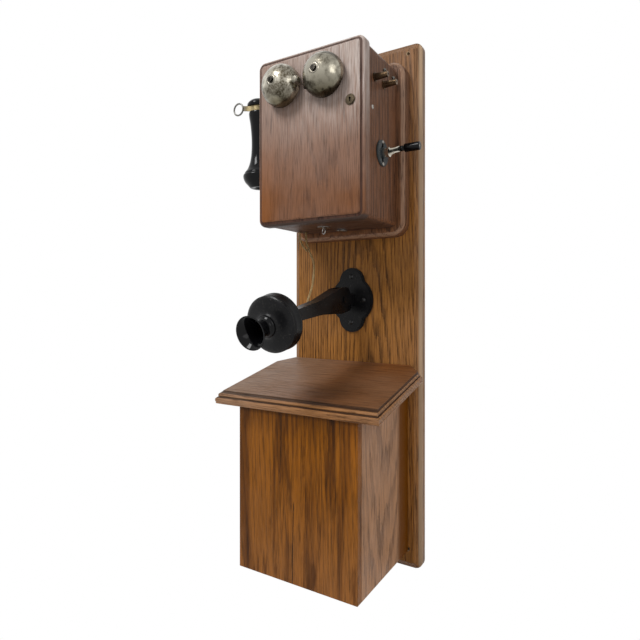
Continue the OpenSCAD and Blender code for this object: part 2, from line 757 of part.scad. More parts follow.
module generator_magnets() {
    leg = armature_z - rotor_r - 5;
    arch = crank_z + 7;
    color(magnet_red) from_foot() for (k = [0 : 2])
        translate([generator_left + k * (magnet_w + 1), 0, 0]) {
            for (y = [crank_y - magnet_in - magnet_t, crank_y + magnet_in])
                block([0, y, leg], [magnet_w, y + magnet_t, arch]);
            difference() {
                rod_x([0, crank_y, arch], magnet_in + magnet_t, magnet_w);
                rod_x([-1, crank_y, arch], magnet_in, magnet_w + 2);
                block([-1, crank_y - 60, arch - 60], [magnet_w + 1, crank_y + 60, arch]);
            }
        }
}
module generator_armature() {
    color("#7a5a3a") from_foot() {
        rod_x([generator_left + 2, crank_y, armature_z], rotor_r, generator_len - 4);
        rod_x([generator_left - end_plate_t - 3, crank_y, armature_z], rotor_shaft_r,
            gear_x + gear_w + 2 - generator_left + end_plate_t);
        translate([gear_x - 0.5, crank_y, armature_z]) rotate([90, 0, 90])
            linear_extrude(height = gear_w + 1) polygon(gear_points(pinion_teeth, gear_m, 1));
    }
}
module drive_gear() {
    color(brass) from_foot() translate([gear_x, crank_y, crank_z]) rotate([90, 0, 90])
        difference() {
            union() {
                linear_extrude(height = gear_w) rotate(180)
                    polygon(gear_points(gear_teeth, gear_m, 0));
                cylinder(r = 9, h = gear_w + 5);
            }
            translate([0, 0, -1]) cylinder(r = shaft_r, h = gear_w + 8);
            for (a = [0 : 60 : 300]) rotate(a) translate([18, 0, -1]) cylinder(r = 5.5, h = gear_w + 2);
        }
}
crank_face = box_w / 2 + 5.5;
module crank_shaft() {
    left = generator_left - end_plate_t - 3;
    color(steel) from_foot()
        rod_x([left, crank_y, crank_z], shaft_r, crank_face + 7.5 - left);
}
// The crank arm bends outwards from its hub to the eye that holds the grip's pin.
grip_x = crank_face + 15.5;
grip_y = crank_y + crank_throw * cos(crank_rise);
grip_z = crank_z + crank_throw * sin(crank_rise);
grip_pin_r = 2.4;
module crank_arm() {
    color(nickel) from_foot() difference() {
        union() {
            rod_x([crank_face, crank_y, crank_z], 7.5, 8.5);
            translate([0, crank_y, crank_z]) rotate([crank_rise, 0, 0]) {
                hull() {
                    rod_x([crank_face + 2, 2, 0], 5.5, 6);
                    rod_x([crank_face + 7, crank_throw * 0.65, 0], 4.2, 5);
                }
                hull() {
                    rod_x([crank_face + 7, crank_throw * 0.65, 0], 4.2, 5);
                    rod_x([crank_face + 9.5, crank_throw, 0], 4.6, 5.7);
                }
            }
            rod_x([crank_face + 10, grip_y, grip_z], grip_pin_r, grip_len + 5);
        }
        rod_x([crank_face - 1, crank_y, crank_z], shaft_r, 8.5);
    }
}
module crank_grip() {
    color(ebonite) from_foot() translate([grip_x, grip_y, grip_z]) rotate([0, 90, 0])
        rotate_extrude() polygon([[grip_pin_r + running, 0], [3.4, 0], [4.3, 1.6], [4.6, 4.2],
            [4.3, 6.8], [3.5, 8.6], [4.2, 9.4], [grip_r - 0.5, 10], [grip_r, 11],
            [grip_r, grip_len - 1.4], [grip_r - 0.6, grip_len - 0.4], [grip_r - 1.6, grip_len],
            [grip_pin_r + running, grip_len]]);
}

module induction_coil() {
    x = -box_w / 2 + box_t + 24;
    y = crank_y;
    color("#5d4030") from_foot() {
        rod_out([x, y + 40, floor_z + 15], 12, 80);
        for (end = [-44, 38]) block([x - 15, y + end, floor_z], [x + 15, y + end + 6, floor_z + 30]);
    }
}

// Switch hook: bracket and pin on the left side, lever with fork and eye.
module hook_bracket() {
    inner = -box_w / 2 + box_t;
    color(steel) from_foot() {
        difference() {
            block([inner, hook_y - 12, hook_mid - 16], [inner + 2.5, hook_y + 12, hook_mid + 18]);
            hook_slot(inner - 1, inner + 4);
        }
        for (y = [hook_y - 5.5, hook_y + 3]) difference() {
            union() {
                block([inner + 2.5, y, hook_mid - 8], [-pivot_x, y + 2.5, hook_mid + 8]);
                rod_out([-pivot_x, y + 2.5, hook_mid], 8, 2.5);
            }
            rod_out([-pivot_x, y + 3, hook_mid], pivot_pin_r, 4);
        }
        rod_out([-pivot_x, hook_y + 7, hook_mid], pivot_pin_r, 14);
    }
}
pivot_pin_r = 2;
lever_t = 4;
eye_off = 24.8;
eye_x = -rec_x - 29;
module switch_hook() {
    color(brass) from_foot() {
        difference() {
            union() {
                block([-pivot_x - 1, hook_y - lever_t / 2, hook_mid - strap_h / 2],
                    [-pivot_x + 20, hook_y + lever_t / 2, hook_mid + 1]);
                rod_out([-pivot_x, hook_y + lever_t / 2, hook_mid], 6.5, lever_t);
                block([-rec_x + fork_r + 0.5, hook_y - lever_t / 2, hook_mid - strap_h / 2],
                    [-pivot_x, hook_y + lever_t / 2, hook_mid + strap_h / 2]);
            }
            rod_out([-pivot_x, hook_y + 5, hook_mid], pivot_pin_r + running, 10);
        }
        translate([0, 0, strap_z]) linear_extrude(height = strap_h) {
            difference() {
                translate([-rec_x, hook_y]) circle(r = fork_r + strap_t);
                translate([-rec_x, hook_y]) circle(r = fork_r);
                translate([-rec_x - 60, hook_y - 50]) square([60, 100]);
            }
            translate([-rec_x - 14, hook_y + fork_r]) square([14, strap_t]);
            translate([-rec_x - 9, hook_y - fork_r - strap_t]) square([9, strap_t]);
            polygon([[-rec_x - 9, hook_y - fork_r], [-rec_x - 9, hook_y - fork_r - strap_t],
                [eye_x + eye_r - 2.5, hook_y - eye_off - strap_t / 2],
                [eye_x + eye_r - 2.5, hook_y - eye_off + strap_t / 2]]);
        }
        translate([eye_x, hook_y - eye_off, hook_mid]) rotate([90, 0, 0])
            rotate_extrude() translate([eye_r - eye_wire, 0]) circle(r = eye_wire, $fn = 24);
    }
}
module hook_springs() {
    inner = -box_w / 2 + box_t;
    color(brass) from_foot() {
        block([inner + 2.5, hook_y - 10, hook_mid + 10], [inner + 14, hook_y + 10, hook_mid + 18]);
        for (k = [0 : 2]) block([inner + 14, hook_y - 4, hook_mid + 10.5 + 2.8 * k],
            [-pivot_x + 26, hook_y + 4, hook_mid + 11.1 + 2.8 * k]);
        block([-pivot_x + 18, hook_y - 3, hook_mid + 1.3], [-pivot_x + 20, hook_y + 3, hook_mid + 10.5]);
    }
}

// Receiver, hanging by the groove under its tail cap.
module receiver_body(points) {
    translate([-rec_x, hook_y, rec_z]) rotate_extrude($fn = 64) polygon(points);
}
module receiver_shell() {
    color(ebonite) from_foot() receiver_body([[11, tail_z], [groove_r, tail_z],
        [groove_r, groove_z], [19.6, groove_z], [19.2, 132], [17.4, 121], [16, 108],
        [15, 96], [neck_r, 85], [neck_r, 74], [15.2, 64], [16.4, 54], [18.6, 43.5], [22.4, 34],
        [25.6, 30], [27.4, 27], [27.4, 24.5], [25.2, 24.5], [25.2, 14], [22, 14], [22, 24], [11, 48]]);
}
module receiver_tail_cap() {
    color(ebonite) from_foot() receiver_body([[0, tail_z], [tail_r - 0.7, tail_z],
        [tail_r, tail_z + 1], [tail_r, tail_z + 4.6], [tail_r - 1.2, tail_z + 7.6],
        [tail_r - 4.6, tail_z + 11.2], [tail_r - 9.5, tail_z + 13.8], [tail_r - 16, tail_z + 15.2],
        [0, tail_z + 15.6]]);
}
module receiver_ear_cap() {
    color(ebonite) from_foot() receiver_body([[6, 3], [9, 0.8], [13, 0], [17, 0], [20.5, 4],
        [25.5, 9], [28.6, 14.5], [ear_r - 0.4, 18.5], [ear_r, 21], [ear_r - 0.5, 23.2],
        [ear_r - 1.6, 24.5], [25.2, 24.5], [25.2, 12], [22, 10], [6, 8]]);
}
module receiver_diaphragm() {
    color(steel) from_foot() translate([-rec_x, hook_y, rec_z + 12.4]) cylinder(r = 25, h = 1.6);
}
module receiver_magnet() {
    color(steel) from_foot() {
        for (side = [-1, 1]) translate([-rec_x + side * 5, hook_y, rec_z])
            block([-2.5, -6, 16], [2.5, 6, tail_z]);
        translate([-rec_x, hook_y, rec_z + 17]) cylinder(r = 10.5, h = 12);
    }
}

// Underside of the ringer box: a hanging eye and a flat button.
module underside_fittings() {
    color(nickel) from_foot() {
        rod_z([eye_at[0], eye_at[1], box_low - 3], 2, 10.5);
        translate([eye_at[0], eye_at[1], box_low - 6.6]) rotate([90, 0, -30]) rotate_extrude()
            translate([5, 0]) circle(r = 1, $fn = 24);
        rod_z([eye_at[0], eye_at[1], box_low - 1.3], 11, 1.3);
        rod_z([button_at[0], button_at[1], box_low - 2], 2, 9.5);
        rod_z([button_at[0], button_at[1], box_low - 2.5], 9.5, 1.6);
    }
}
module cord_ferrules() {
    color(brass) from_foot() for (p = [long_route[0], short_route[0]]) {
        rod_z([p[0], p[1], box_low], ferrule_r, box_t - 2);
        rod_z([p[0], p[1], box_low - 0.6], ferrule_r + 1.4, 0.6);
    }
}
module cord_long() { color(cord_tan) from_foot() tube(long_route, cord_r); }
module cord_short() { color(cord_tan) from_foot() tube(short_route, cord_r); }

// Transmitter: plate, arm and head.
plate_t = 6;
lobe_r = 26;
lobe_z = 33;
belly_r = 43;
plate_screws_at = [[0, 43], [0, -41], [25.5, 0], [-25.5, 0]];
module plate_outline(inset) {
    offset(r = -7) offset(r = 7 - inset) {
        translate([0, lobe_z]) circle(r = lobe_r, $fn = 40);
        translate([0, -lobe_z]) circle(r = lobe_r, $fn = 40);
        circle(r = belly_r, $fn = 48);
        square([2 * lobe_r, 2 * lobe_z], center = true);
    }
}
module transmitter_plate() {
    color(dark_iron) from_foot() difference() {
        union() {
            translate([0, -board_t, arm_z]) rotate([90, 0, 0]) {
                linear_extrude(height = 3.2) plate_outline(0);
                translate([0, 0, 3.2]) linear_extrude(height = 1.4) plate_outline(1.4);
                translate([0, 0, 4.6]) linear_extrude(height = plate_t - 4.6) plate_outline(3.2);
            }
            block([-lug_t / 2, arm_y, arm_z - 11], [lug_t / 2, -board_t - 2, arm_z + 11]);
            rod_x([-lug_t / 2, arm_y, arm_z], 11, lug_t);
        }
        rod_x([-lug_t, arm_y, arm_z], pivot_r + running, 2 * lug_t);
        for (s = plate_screws_at) rod_out([s[0], -board_t + 1, arm_z + s[1]], screw_r, 10);
    }
}
// The arm is a tapered channel, open below, drawn level with its pivot at the origin.
module arm_side(points) {
    rotate([90, 0, 90]) translate([0, 0, -arm_half - 1])
        linear_extrude(height = 2 * arm_half + 2) polygon(points);
}
module transmitter_arm() {
    tip = long_route[len(long_route) - 1];
    waist = -arm_len * 0.46;
    color(dark_iron) from_foot() rod_x([tip[0] + play, tip[1], tip[2]], cord_r + 1.7, -tip[0] - play - 8);
    color(dark_iron) from_foot() translate([0, arm_y, arm_z]) rotate([arm_fall, 0, 0]) difference() {
        intersection() {
            arm_side([[22, -18], [24, -6], [24, 8], [18, 19], [6, arm_root], [-14, arm_root],
                [-24, arm_root - 2], [waist, arm_tip + 3], [-118, arm_tip + 1],
                [-arm_len + 4, arm_tip], [-arm_len, arm_tip - 3], [-arm_len, -arm_tip + 3],
                [-arm_len + 4, -arm_tip], [-118, -arm_tip - 1], [waist, -arm_tip - 3],
                [-24, 2 - arm_root], [-14, -arm_root], [16, -arm_root]]);
            translate([0, 0, -arm_root - 1]) linear_extrude(height = 2 * arm_root + 2)
                polygon([[-arm_half, 30], [-arm_half, -18], [-arm_tip_half, -arm_len + 12],
                    [-arm_tip_half, -arm_len - 1], [arm_tip_half, -arm_len - 1],
                    [arm_tip_half, -arm_len + 12], [arm_half, -18], [arm_half, 30]]);
        }
        block([-lug_t / 2 - play, -14, -arm_root - 2], [lug_t / 2 + play, 30, arm_root + 2]);
        intersection() {
            translate([0, 0, -arm_root - 2]) linear_extrude(height = 2 * arm_root + 4)
                polygon([[-lug_t / 2 - play, -13], [-arm_tip_half + 3.5, -arm_len + 30],
                    [arm_tip_half - 3.5, -arm_len + 30], [lug_t / 2 + play, -13]]);
            arm_side([[-12, -arm_root - 1], [-12, arm_root - 7], [-24, arm_root - 8],
                [waist, arm_tip - 2], [-arm_len + 24, arm_tip - 4], [-arm_len + 24, -arm_root - 1]]);
        }
        rod_x([-arm_half - 2, 0, 0], pivot_r + running / 2, 2 * arm_half + 4);
    }
}
module pivot_bolt() {
    color(dark_iron) from_foot() {
        rod_x([-arm_half - 5, arm_y, arm_z], pivot_r, 2 * arm_half + 6);
        translate([arm_half, arm_y, arm_z]) rotate([0, 90, 0]) cylinder(r = 5.6, h = 3.4);
        translate([-arm_half - 4, arm_y, arm_z]) rotate([0, 90, 0]) cylinder(r = 6, h = 4, $fn = 6);
    }
}
// The head's axis leaves the arm's end and falls a little more steeply than the arm.
cup_y = arm_y - arm_len * cos(arm_fall);
cup_z = arm_z - arm_len * sin(arm_fall);
module on_head() { translate([0, cup_y, cup_z]) rotate([90 + cup_fall, 0, 0]) children(); }
rim = 19 + cup_deep;
cup_floor = 20;
module transmitter_cup() {
    color(dark_iron) from_foot() on_head() rotate_extrude($fn = 72)
        polygon([[0, 0.4], [13, 0.4], [16, 3], [18, 8], [30, 14.5], [38, 16.5], [cup_r, 19.5],
            [cup_r + 0.5, 21], [cup_r + 0.5, 23.5], [cup_r, 25], [cup_r, rim - 4],
            [cup_r - 0.8, rim - 0.3], [cup_r - 4, rim - 0.3], [cup_r - 4, cup_floor], [0, cup_floor]]);
}
module transmitter_face() {
    color(dark_iron) from_foot() on_head() rotate_extrude($fn = 72)
        polygon([[9, rim], [cup_r - 1.2, rim], [cup_r - 0.2, rim + 1], [cup_r - 0.4, rim + 2.5],
            [cup_r - 3, rim + 4.6], [cup_r - 10, rim + 6.4], [cup_r - 18, rim + 8],
            [20, rim + 9.4], [16.5, rim + 12], [13, rim + 12], [13, rim + 4], [9, rim + 4]]);
}
module mouthpiece() {
    far = rim + mouth_out;
    color(ebonite) from_foot() on_head() rotate_extrude($fn = 64)
        polygon([[9.3, rim + 12.3], [15.6, rim + 12.3], [16, rim + 14], [12.4, rim + 17],
            [11.6, rim + 22], [12.6, rim + 28], [15.4, rim + 36], [19.6, rim + 43],
            [mouth_r - 1, far - 1.4], [mouth_r, far - 0.6], [mouth_r, far], [mouth_r - 2, far],
            [16.8, rim + 42], [13, rim + 35.5], [9.6, rim + 28], [8.6, rim + 22], [9.3, rim + 17]]);
}
module transmitter_button() {
    color(brass) from_foot() on_head() {
        translate([0, 0, cup_floor]) cylinder(r = 14, h = rim - 3 - cup_floor);
        translate([0, 0, rim - 3]) cylinder(r = cup_r - 5, h = 1.2);
        translate([0, 0, rim - 1.8]) cylinder(r = 3, h = 5);
    }
}

// Battery box. Its sides and front end just under the sloping shelf.
function under_shelf(y) = shelf_z + (y + board_t) * tan(shelf_slope)
    - shelf_t / cos(shelf_slope) - play;
module battery_side(x) {
    translate([x, 0, 0]) rotate([90, 0, 90]) linear_extrude(height = bat_t)
        polygon([[bat_inner, bat_low], [-board_t, bat_low], [-board_t, under_shelf(-board_t)],
            [bat_inner, under_shelf(bat_inner)]]);
}
module battery_side_left() { color(oak) from_foot() battery_side(-bat_w / 2); }
module battery_side_right() { color(oak) from_foot() battery_side(bat_w / 2 - bat_t); }
module battery_front() {
    color(oak) from_foot() translate([-bat_w / 2, 0, 0]) rotate([90, 0, 90])
        linear_extrude(height = bat_w) polygon([[bat_face, bat_low], [bat_inner, bat_low],
            [bat_inner, under_shelf(bat_inner)], [bat_face, under_shelf(bat_face)]]);
}
module battery_bottom() {
    color(oak) from_foot() block([-bat_w / 2 + bat_t, bat_inner, bat_low],
        [bat_w / 2 - bat_t, -board_t, bat_low + bat_t - 1]);
}
cell_xs = [-bat_w / 4 + 12, bat_w / 4 - 12];
cell_y = -board_t - 70;
cell_z = bat_low + bat_t - 1;
module dry_cells() {
    color("#6f6a58") from_foot() for (x = cell_xs) difference() {
        rod_z([x, cell_y, cell_z], cell_r, cell_h);
        rod_z([x, cell_y, cell_z + cell_h - 3], cell_r - 1.5, 4);
        rod_z([x, cell_y, cell_z + cell_h - 20], 12.5, 30);
    }
}
module cell_terminals() {
    color(brass) from_foot() for (x = cell_xs) {
        rod_z([x, cell_y, cell_z + cell_h - 20], 12.5, 26);
        rod_z([x, cell_y, cell_z + cell_h + 6], 2, 10);
        rod_z([x, cell_y, cell_z + cell_h + 8], 5, 5);
        rod_z([x + 26, cell_y, cell_z + cell_h - 3], 2, 13);
        rod_z([x + 26, cell_y, cell_z + cell_h + 1], 4.5, 5);
    }
}

// Sloping shelf: the lid of the battery box, with chamfered rear corners.
shelf_edges = [[3, 0], [1, 1], [0.3, 2.4], [0.3, 3.2], [0.9, 3.8], [0.3, 4.6], [0, 6], [0.1, 8],
    [0.9, 10], [2.4, 11.2], [5.2, 11.6], [5.6, 12.6], [5.2, 13.6], [5.6, 15], [6.8, 16.2],
    [8.6, 16.8], [11, 17.2], [14.4, 18], [14.9, 18.8], [15.5, 19]];
// The moulding is drawn in more closely along the sides than along the front.
function side_in(inset) = inset < 3 ? inset : 3 + (inset - 3) * 0.344;
chamfer_in = 30;
chamfer_deep = 36.5;
function shelf_ring(inset, h) =
    let (half = shelf_w / 2, front = (shelf_out + board_t) / cos(shelf_slope), side = side_in(inset),
        corner = board_t + chamfer_deep - 6.3, n = unit([chamfer_deep, chamfer_in]),
        reach = n * [half, -corner] - side, far = half - side,
        x_rear = reach / n[0], y_corner = (reach - n[0] * far) / n[1])
    [for (p = [[far, inset - front], [far, y_corner], [x_rear, 0], [-x_rear, 0],
        [-far, y_corner], [-far, inset - front]]) [shelf_x + p[0], p[1], h]];
module shelf_lid() {
    pivot = shelf_z + board_t * tan(shelf_slope);
    color(oak) from_foot() difference() {
        translate([0, 0, pivot]) rotate([shelf_slope, 0, 0])
            translate([0, 0, -shelf_t]) loft([for (e = shelf_edges)
                shelf_ring(e[0], e[1] * shelf_t / 19)]);
        block([-shelf_w, shelf_rear, shelf_z - 60], [shelf_w, 60, shelf_z + 60]);
        for (x = lid_hinge_x) {
            rod_x([x - hinge_len / 2 - 2, lid_hinge_y, lid_hinge_z], hinge_r + play, hinge_len + 4);
            block([x - hinge_len / 2 - 2, shelf_rear - 0.2, lid_hinge_z - 17],
                [x + hinge_len / 2 + 2, shelf_rear + 9, shelf_z + 9]);
        }
    }
}

backboard();
sub_base();
ringer_side_left();
ringer_side_right();
ringer_top();
ringer_bottom();
fixed_hinge_leaves();
hinge_pins();
binding_posts();
binding_post_screws();
crank_plate();
round_head_screws();
generator_frame();
generator_magnets();
induction_coil();
hook_bracket();
hook_springs();
underside_fittings();
transmitter_plate();
battery_front();
battery_side_left();
battery_side_right();
battery_bottom();
dry_cells();
cell_terminals();
cord_long();
cord_short();
cord_ferrules();
door_panel();
door_hinge_leaves();
gong_left();
gong_right();
gong_posts();
gong_screws();
lock_case();
lock_escutcheon();
ringer_frame();
ringer_coils();
ringer_magnet();
clapper();
lock_bolt();
crank_shaft();
crank_arm();
drive_gear();
crank_grip();
generator_armature();
switch_hook();
receiver_shell();
receiver_tail_cap();
receiver_ear_cap();
receiver_diaphragm();
receiver_magnet();
transmitter_arm();
pivot_bolt();
transmitter_cup();
transmitter_face();
mouthpiece();
transmitter_button();
shelf_lid();
lid_hinge_leaves();
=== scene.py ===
"""A magneto wall telephone of oak, iron, nickel and hard rubber, dressed over its frame.

The frame's axes are X to the right, Y into the wall and Z up. Pieces are sized in
millimetres, and the places of patterns, lamps and the camera are in metres.
"""
import math

import bmesh
import bpy
from mathutils import Matrix, Vector


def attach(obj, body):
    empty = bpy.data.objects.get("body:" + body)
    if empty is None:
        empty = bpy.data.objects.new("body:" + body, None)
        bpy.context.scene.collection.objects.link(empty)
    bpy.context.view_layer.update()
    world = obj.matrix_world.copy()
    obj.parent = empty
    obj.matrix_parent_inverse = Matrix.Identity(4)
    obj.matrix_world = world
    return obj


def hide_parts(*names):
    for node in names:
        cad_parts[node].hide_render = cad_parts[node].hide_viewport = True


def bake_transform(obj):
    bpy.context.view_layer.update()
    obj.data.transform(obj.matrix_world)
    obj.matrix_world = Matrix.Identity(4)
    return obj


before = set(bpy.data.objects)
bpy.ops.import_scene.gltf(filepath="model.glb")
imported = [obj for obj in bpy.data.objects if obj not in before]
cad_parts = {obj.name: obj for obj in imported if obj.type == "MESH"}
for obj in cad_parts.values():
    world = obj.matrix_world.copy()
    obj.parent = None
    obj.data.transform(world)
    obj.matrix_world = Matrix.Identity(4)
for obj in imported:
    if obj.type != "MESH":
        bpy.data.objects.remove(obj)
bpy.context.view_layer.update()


# Camera
#
# A phone camera stood a little to the right of the telephone and level with
# its middle. Its place and lens come from the straight edges in the picture.
camera = bpy.data.objects.new("camera", bpy.data.cameras.new("camera"))
bpy.context.scene.collection.objects.link(camera)
bpy.context.scene.camera = camera
camera.location = (0.4416, -0.8341, 0.0110)
camera.rotation_euler = (math.radians(90 - 0.13), 0, math.radians(30.61))
camera.data.sensor_width = 36
camera.data.lens = 28.13
camera.data.shift_x = -0.0226
camera.data.shift_y = -0.0298
bpy.context.scene.view_settings.view_transform = "Standard"


# Cords
#
# Two braided cotton cords leave the box through brass ferrules in its floor.
# The long one runs down to a bush on the transmitter's arm, and the short one
# joins it a quarter of the way down.
MM = 0.001


def new_finish(name, colour, rough, metal=0.0, **sockets):
    """A finish with its plain values set, ready for its pattern."""
    finish = bpy.data.materials.new(name)
    finish.use_nodes = True
    shader = finish.node_tree.nodes["Principled BSDF"]
    shader.inputs["Base Color"].default_value = (*colour, 1)
    shader.inputs["Roughness"].default_value = rough
    shader.inputs["Metallic"].default_value = metal
    for socket, value in sockets.items():
        shader.inputs[socket.replace("_", " ")].default_value = value
    return finish


def node(finish, kind, inputs=None, **settings):
    """Adds a node, and sets or links its inputs."""
    made = finish.node_tree.nodes.new(kind)
    for setting, value in settings.items():
        setattr(made, setting, value)
    for socket, value in (inputs or {}).items():
        if isinstance(value, bpy.types.NodeSocket):
            finish.node_tree.links.new(value, made.inputs[socket])
        else:
            made.inputs[socket].default_value = value
    return made


def on_object(finish, scale=(1, 1, 1), shift=(0, 0, 0), turn=(0, 0, 0)):
    """The piece's own place in the frame, stretched and turned for a pattern."""
    place = node(finish, "ShaderNodeTexCoord").outputs["Object"]
    return node(finish, "ShaderNodeMapping", {
        "Vector": place, "Scale": scale, "Location": shift, "Rotation": turn,
    }).outputs["Vector"]


def clouds(finish, where, scale, detail=3.0, rough=0.55, twist=0.0):
    """Soft noise from 0 to 1."""
    return node(finish, "ShaderNodeTexNoise", {
        "Vector": where, "Scale": scale, "Detail": detail, "Roughness": rough,
        "Distortion": twist,
    }).outputs["Fac"]


def between(finish, value, low, high, to_low=0.0, to_high=1.0):
    """Stretches the part of a value from low to high over a new range."""
    return node(finish, "ShaderNodeMapRange", {
        "Value": value, "From Min": low, "From Max": high, "To Min": to_low,
        "To Max": to_high,
    }).outputs["Result"]


def blended(finish, share, first, second, how="MIX"):
    """Two colours mixed, each a colour or a socket."""
    def colour(c):
        return c if isinstance(c, bpy.types.NodeSocket) else (*c, 1)
    return node(finish, "ShaderNodeMix", {
        0: share, 6: colour(first), 7: colour(second),
    }, data_type="RGBA", blend_type=how, clamp_factor=True).outputs[2]


def times(finish, first, second, how="MULTIPLY"):
    """Two values multiplied, added or the like."""
    return node(finish, "ShaderNodeMath", {0: first, 1: second}, operation=how).outputs[0]


def coloured(finish, colour=None, rough=None, metal=None, bump=None, height=0.0002):
    """Links the patterns to the finish's shader."""
    links = finish.node_tree.links
    shader = finish.node_tree.nodes["Principled BSDF"]
    if colour:
        links.new(colour, shader.inputs["Base Color"])
    if rough:
        links.new(rough, shader.inputs["Roughness"])
    if metal:
        links.new(metal, shader.inputs["Metallic"])
    if bump:
        relief = node(finish, "ShaderNodeBump", {
            "Height": bump, "Strength": 1.0, "Distance": height})
        links.new(relief.outputs["Normal"], shader.inputs["Normal"])
    return finish


def shown(name, mesh, body, finish, nodes=()):
    """Makes a piece of a mesh, lets it ride on its body and stand for its nodes."""
    piece = bpy.data.objects.new(name, mesh)
    bpy.context.scene.collection.objects.link(piece)
    for f in finish if isinstance(finish, (list, tuple)) else [finish]:
        piece.data.materials.append(f)
    if body:
        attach(piece, body)
    if nodes:
        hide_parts(*nodes)
    return piece


cotton = new_finish("tan_cotton_braid", (0.55, 0.42, 0.25), 0.85, Specular_IOR_Level=0.1)
cord_uv = node(cotton, "ShaderNodeTexCoord").outputs["UV"]
strands = node(cotton, "ShaderNodeTexWave", {
    "Vector": node(cotton, "ShaderNodeMapping", {
        "Vector": cord_uv, "Scale": (1.0, 8.0, 1.0), "Rotation": (0, 0, 0.6)}).outputs["Vector"],
    "Scale": 9.0, "Distortion": 1.2, "Detail": 1.0}).outputs["Fac"]
soil = clouds(cotton, on_object(cotton), 90, 3)
coloured(
    cotton,
    colour=blended(cotton, between(cotton, soil, 0.35, 0.7),
                   blended(cotton, strands, (0.50, 0.32, 0.13), (0.80, 0.56, 0.26)),
                   blended(cotton, strands, (0.62, 0.42, 0.20), (0.92, 0.70, 0.38))),
    bump=strands, height=0.0004)

LONG_ROUTE = [
    (-71, -70, 134.4), (-71, -70, 129), (-70, -71, 121), (-66, -74, 111), (-59, -78, 100),
    (-51, -83, 89.5), (-42.5, -89, 78), (-37, -95.5, 66.5), (-33.5, -102, 56),
    (-30, -109.5, 44.5), (-27, -117, 34.5), (-24.5, -126, 24.5), (-22.5, -134, 15.5),
    (-20.5, -140.5, 9.2), (-18, -144, 6), (-15.8, -145, 5), (-13.2, -145, 5)]
SHORT_ROUTE = [
    (-81, -76, 134.4), (-81, -76, 130), (-80, -76.5, 123), (-76, -77.5, 114),
    (-69.8, -79.6, 106.5), (-62, -80.2, 99.4)]
CORD_THICK = 0.0034


def braided_cord(name, route):
    """A round tube on one smooth curve through the route, and that curve's points."""
    line = bpy.data.curves.new(name, "CURVE")
    line.dimensions = "3D"
    line.resolution_u = 8
    spline = line.splines.new("BEZIER")
    spline.bezier_points.add(len(route) - 1)
    for point, place in zip(spline.bezier_points, route):
        point.co = Vector(place) * MM
        point.handle_left_type = point.handle_right_type = "AUTO"
    carrier = bpy.data.objects.new(name, line)
    bpy.context.scene.collection.objects.link(carrier)
    bpy.context.view_layer.update()
    centre = [v.co.copy() for v in carrier.to_mesh().vertices]
    carrier.to_mesh_clear()
    line.bevel_depth = CORD_THICK / 2
    line.bevel_resolution = 4
    line.use_fill_caps = True
    bpy.context.view_layer.update()
    mesh = bpy.data.meshes.new_from_object(
        carrier.evaluated_get(bpy.context.evaluated_depsgraph_get()))
    bpy.data.objects.remove(carrier)
    mesh.materials.clear()
    return mesh, centre


for name, route, cad in (("long_cord", LONG_ROUTE, "cord_long"),
                         ("short_cord", SHORT_ROUTE, "cord_short")):
    mesh, centre = braided_cord(name, route)
    cord = shown(name, mesh, None, cotton, (cad,))
    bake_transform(cord)


# Stage and light
#
# A pale floor just under the telephone, a white surround and soft lamps.
def looked_at(nodes, links):
    """1 for a ray from the eye, from gloss or through glass, and 0 for one of light."""
    path = nodes.new("ShaderNodeLightPath")
    seen = path.outputs["Is Camera Ray"]
    for ray in ("Is Glossy Ray", "Is Transmission Ray"):
        most = nodes.new("ShaderNodeMath")
        most.operation = "MAXIMUM"
        links.new(seen, most.inputs[0])
        links.new(path.outputs[ray], most.inputs[1])
        seen = most.outputs[0]
    return seen


def stage_finish():
    """White to the eye and in gloss, and a pale matt floor to all other light."""
    white = bpy.data.materials.new("pale_floor")
    white.use_nodes = True
    nodes, links = white.node_tree.nodes, white.node_tree.links
    nodes.clear()
    matt = nodes.new("ShaderNodeBsdfDiffuse")
    matt.inputs["Color"].default_value = (0.9, 0.9, 0.9, 1)
    glow = nodes.new("ShaderNodeEmission")
    glow.inputs["Strength"].default_value = 1.0
    share = nodes.new("ShaderNodeMixShader")
    links.new(looked_at(nodes, links), share.inputs[0])
    links.new(matt.outputs[0], share.inputs[1])
    links.new(glow.outputs[0], share.inputs[2])
    links.new(share.outputs[0], nodes.new("ShaderNodeOutputMaterial").inputs["Surface"])
    return white


def surround():
    """A white world to the eye and in gloss, and a softer one as light."""
    world = bpy.data.worlds.new("surround")
    bpy.context.scene.world = world
    world.use_nodes = True
    nodes, links = world.node_tree.nodes, world.node_tree.links
    back = nodes["Background"]
    back.inputs["Color"].default_value = (1, 1, 1, 1)
    level = nodes.new("ShaderNodeMapRange")
    level.inputs["To Min"].default_value = 0.225
    level.inputs["To Max"].default_value = 1.0
    links.new(looked_at(nodes, links), level.inputs["Value"])
    links.new(level.outputs[0], back.inputs["Strength"])


def soft_lamp(name, place, size, power):
    """A square lamp that faces the telephone."""
    lamp = bpy.data.objects.new(name, bpy.data.lights.new(name, "AREA"))
    lamp.data.size = size
    lamp.data.energy = power
    lamp.location = place
    towards = Vector((0, -0.1, 0)) - Vector(place)
    lamp.rotation_euler = towards.to_track_quat("-Z", "Y").to_euler()
    bpy.context.scene.collection.objects.link(lamp)


BOARD_HIGH = 914
FLOOR_GAP = 0.5
floor_mesh = bpy.data.meshes.new("floor")
bm = bmesh.new()
bmesh.ops.create_grid(bm, x_segments=1, y_segments=1, size=6)
bmesh.ops.translate(bm, verts=bm.verts, vec=(0, 0, -(BOARD_HIGH / 2 + FLOOR_GAP) * MM))
bm.to_mesh(floor_mesh)
bm.free()
floor = shown("floor", floor_mesh, None, stage_finish())
surround()
soft_lamp("key_lamp", (-0.6, -1.8, 1.8), 0.8, 34)
soft_lamp("side_lamp", (2.1, -1.2, 0.9), 1.4, 12)


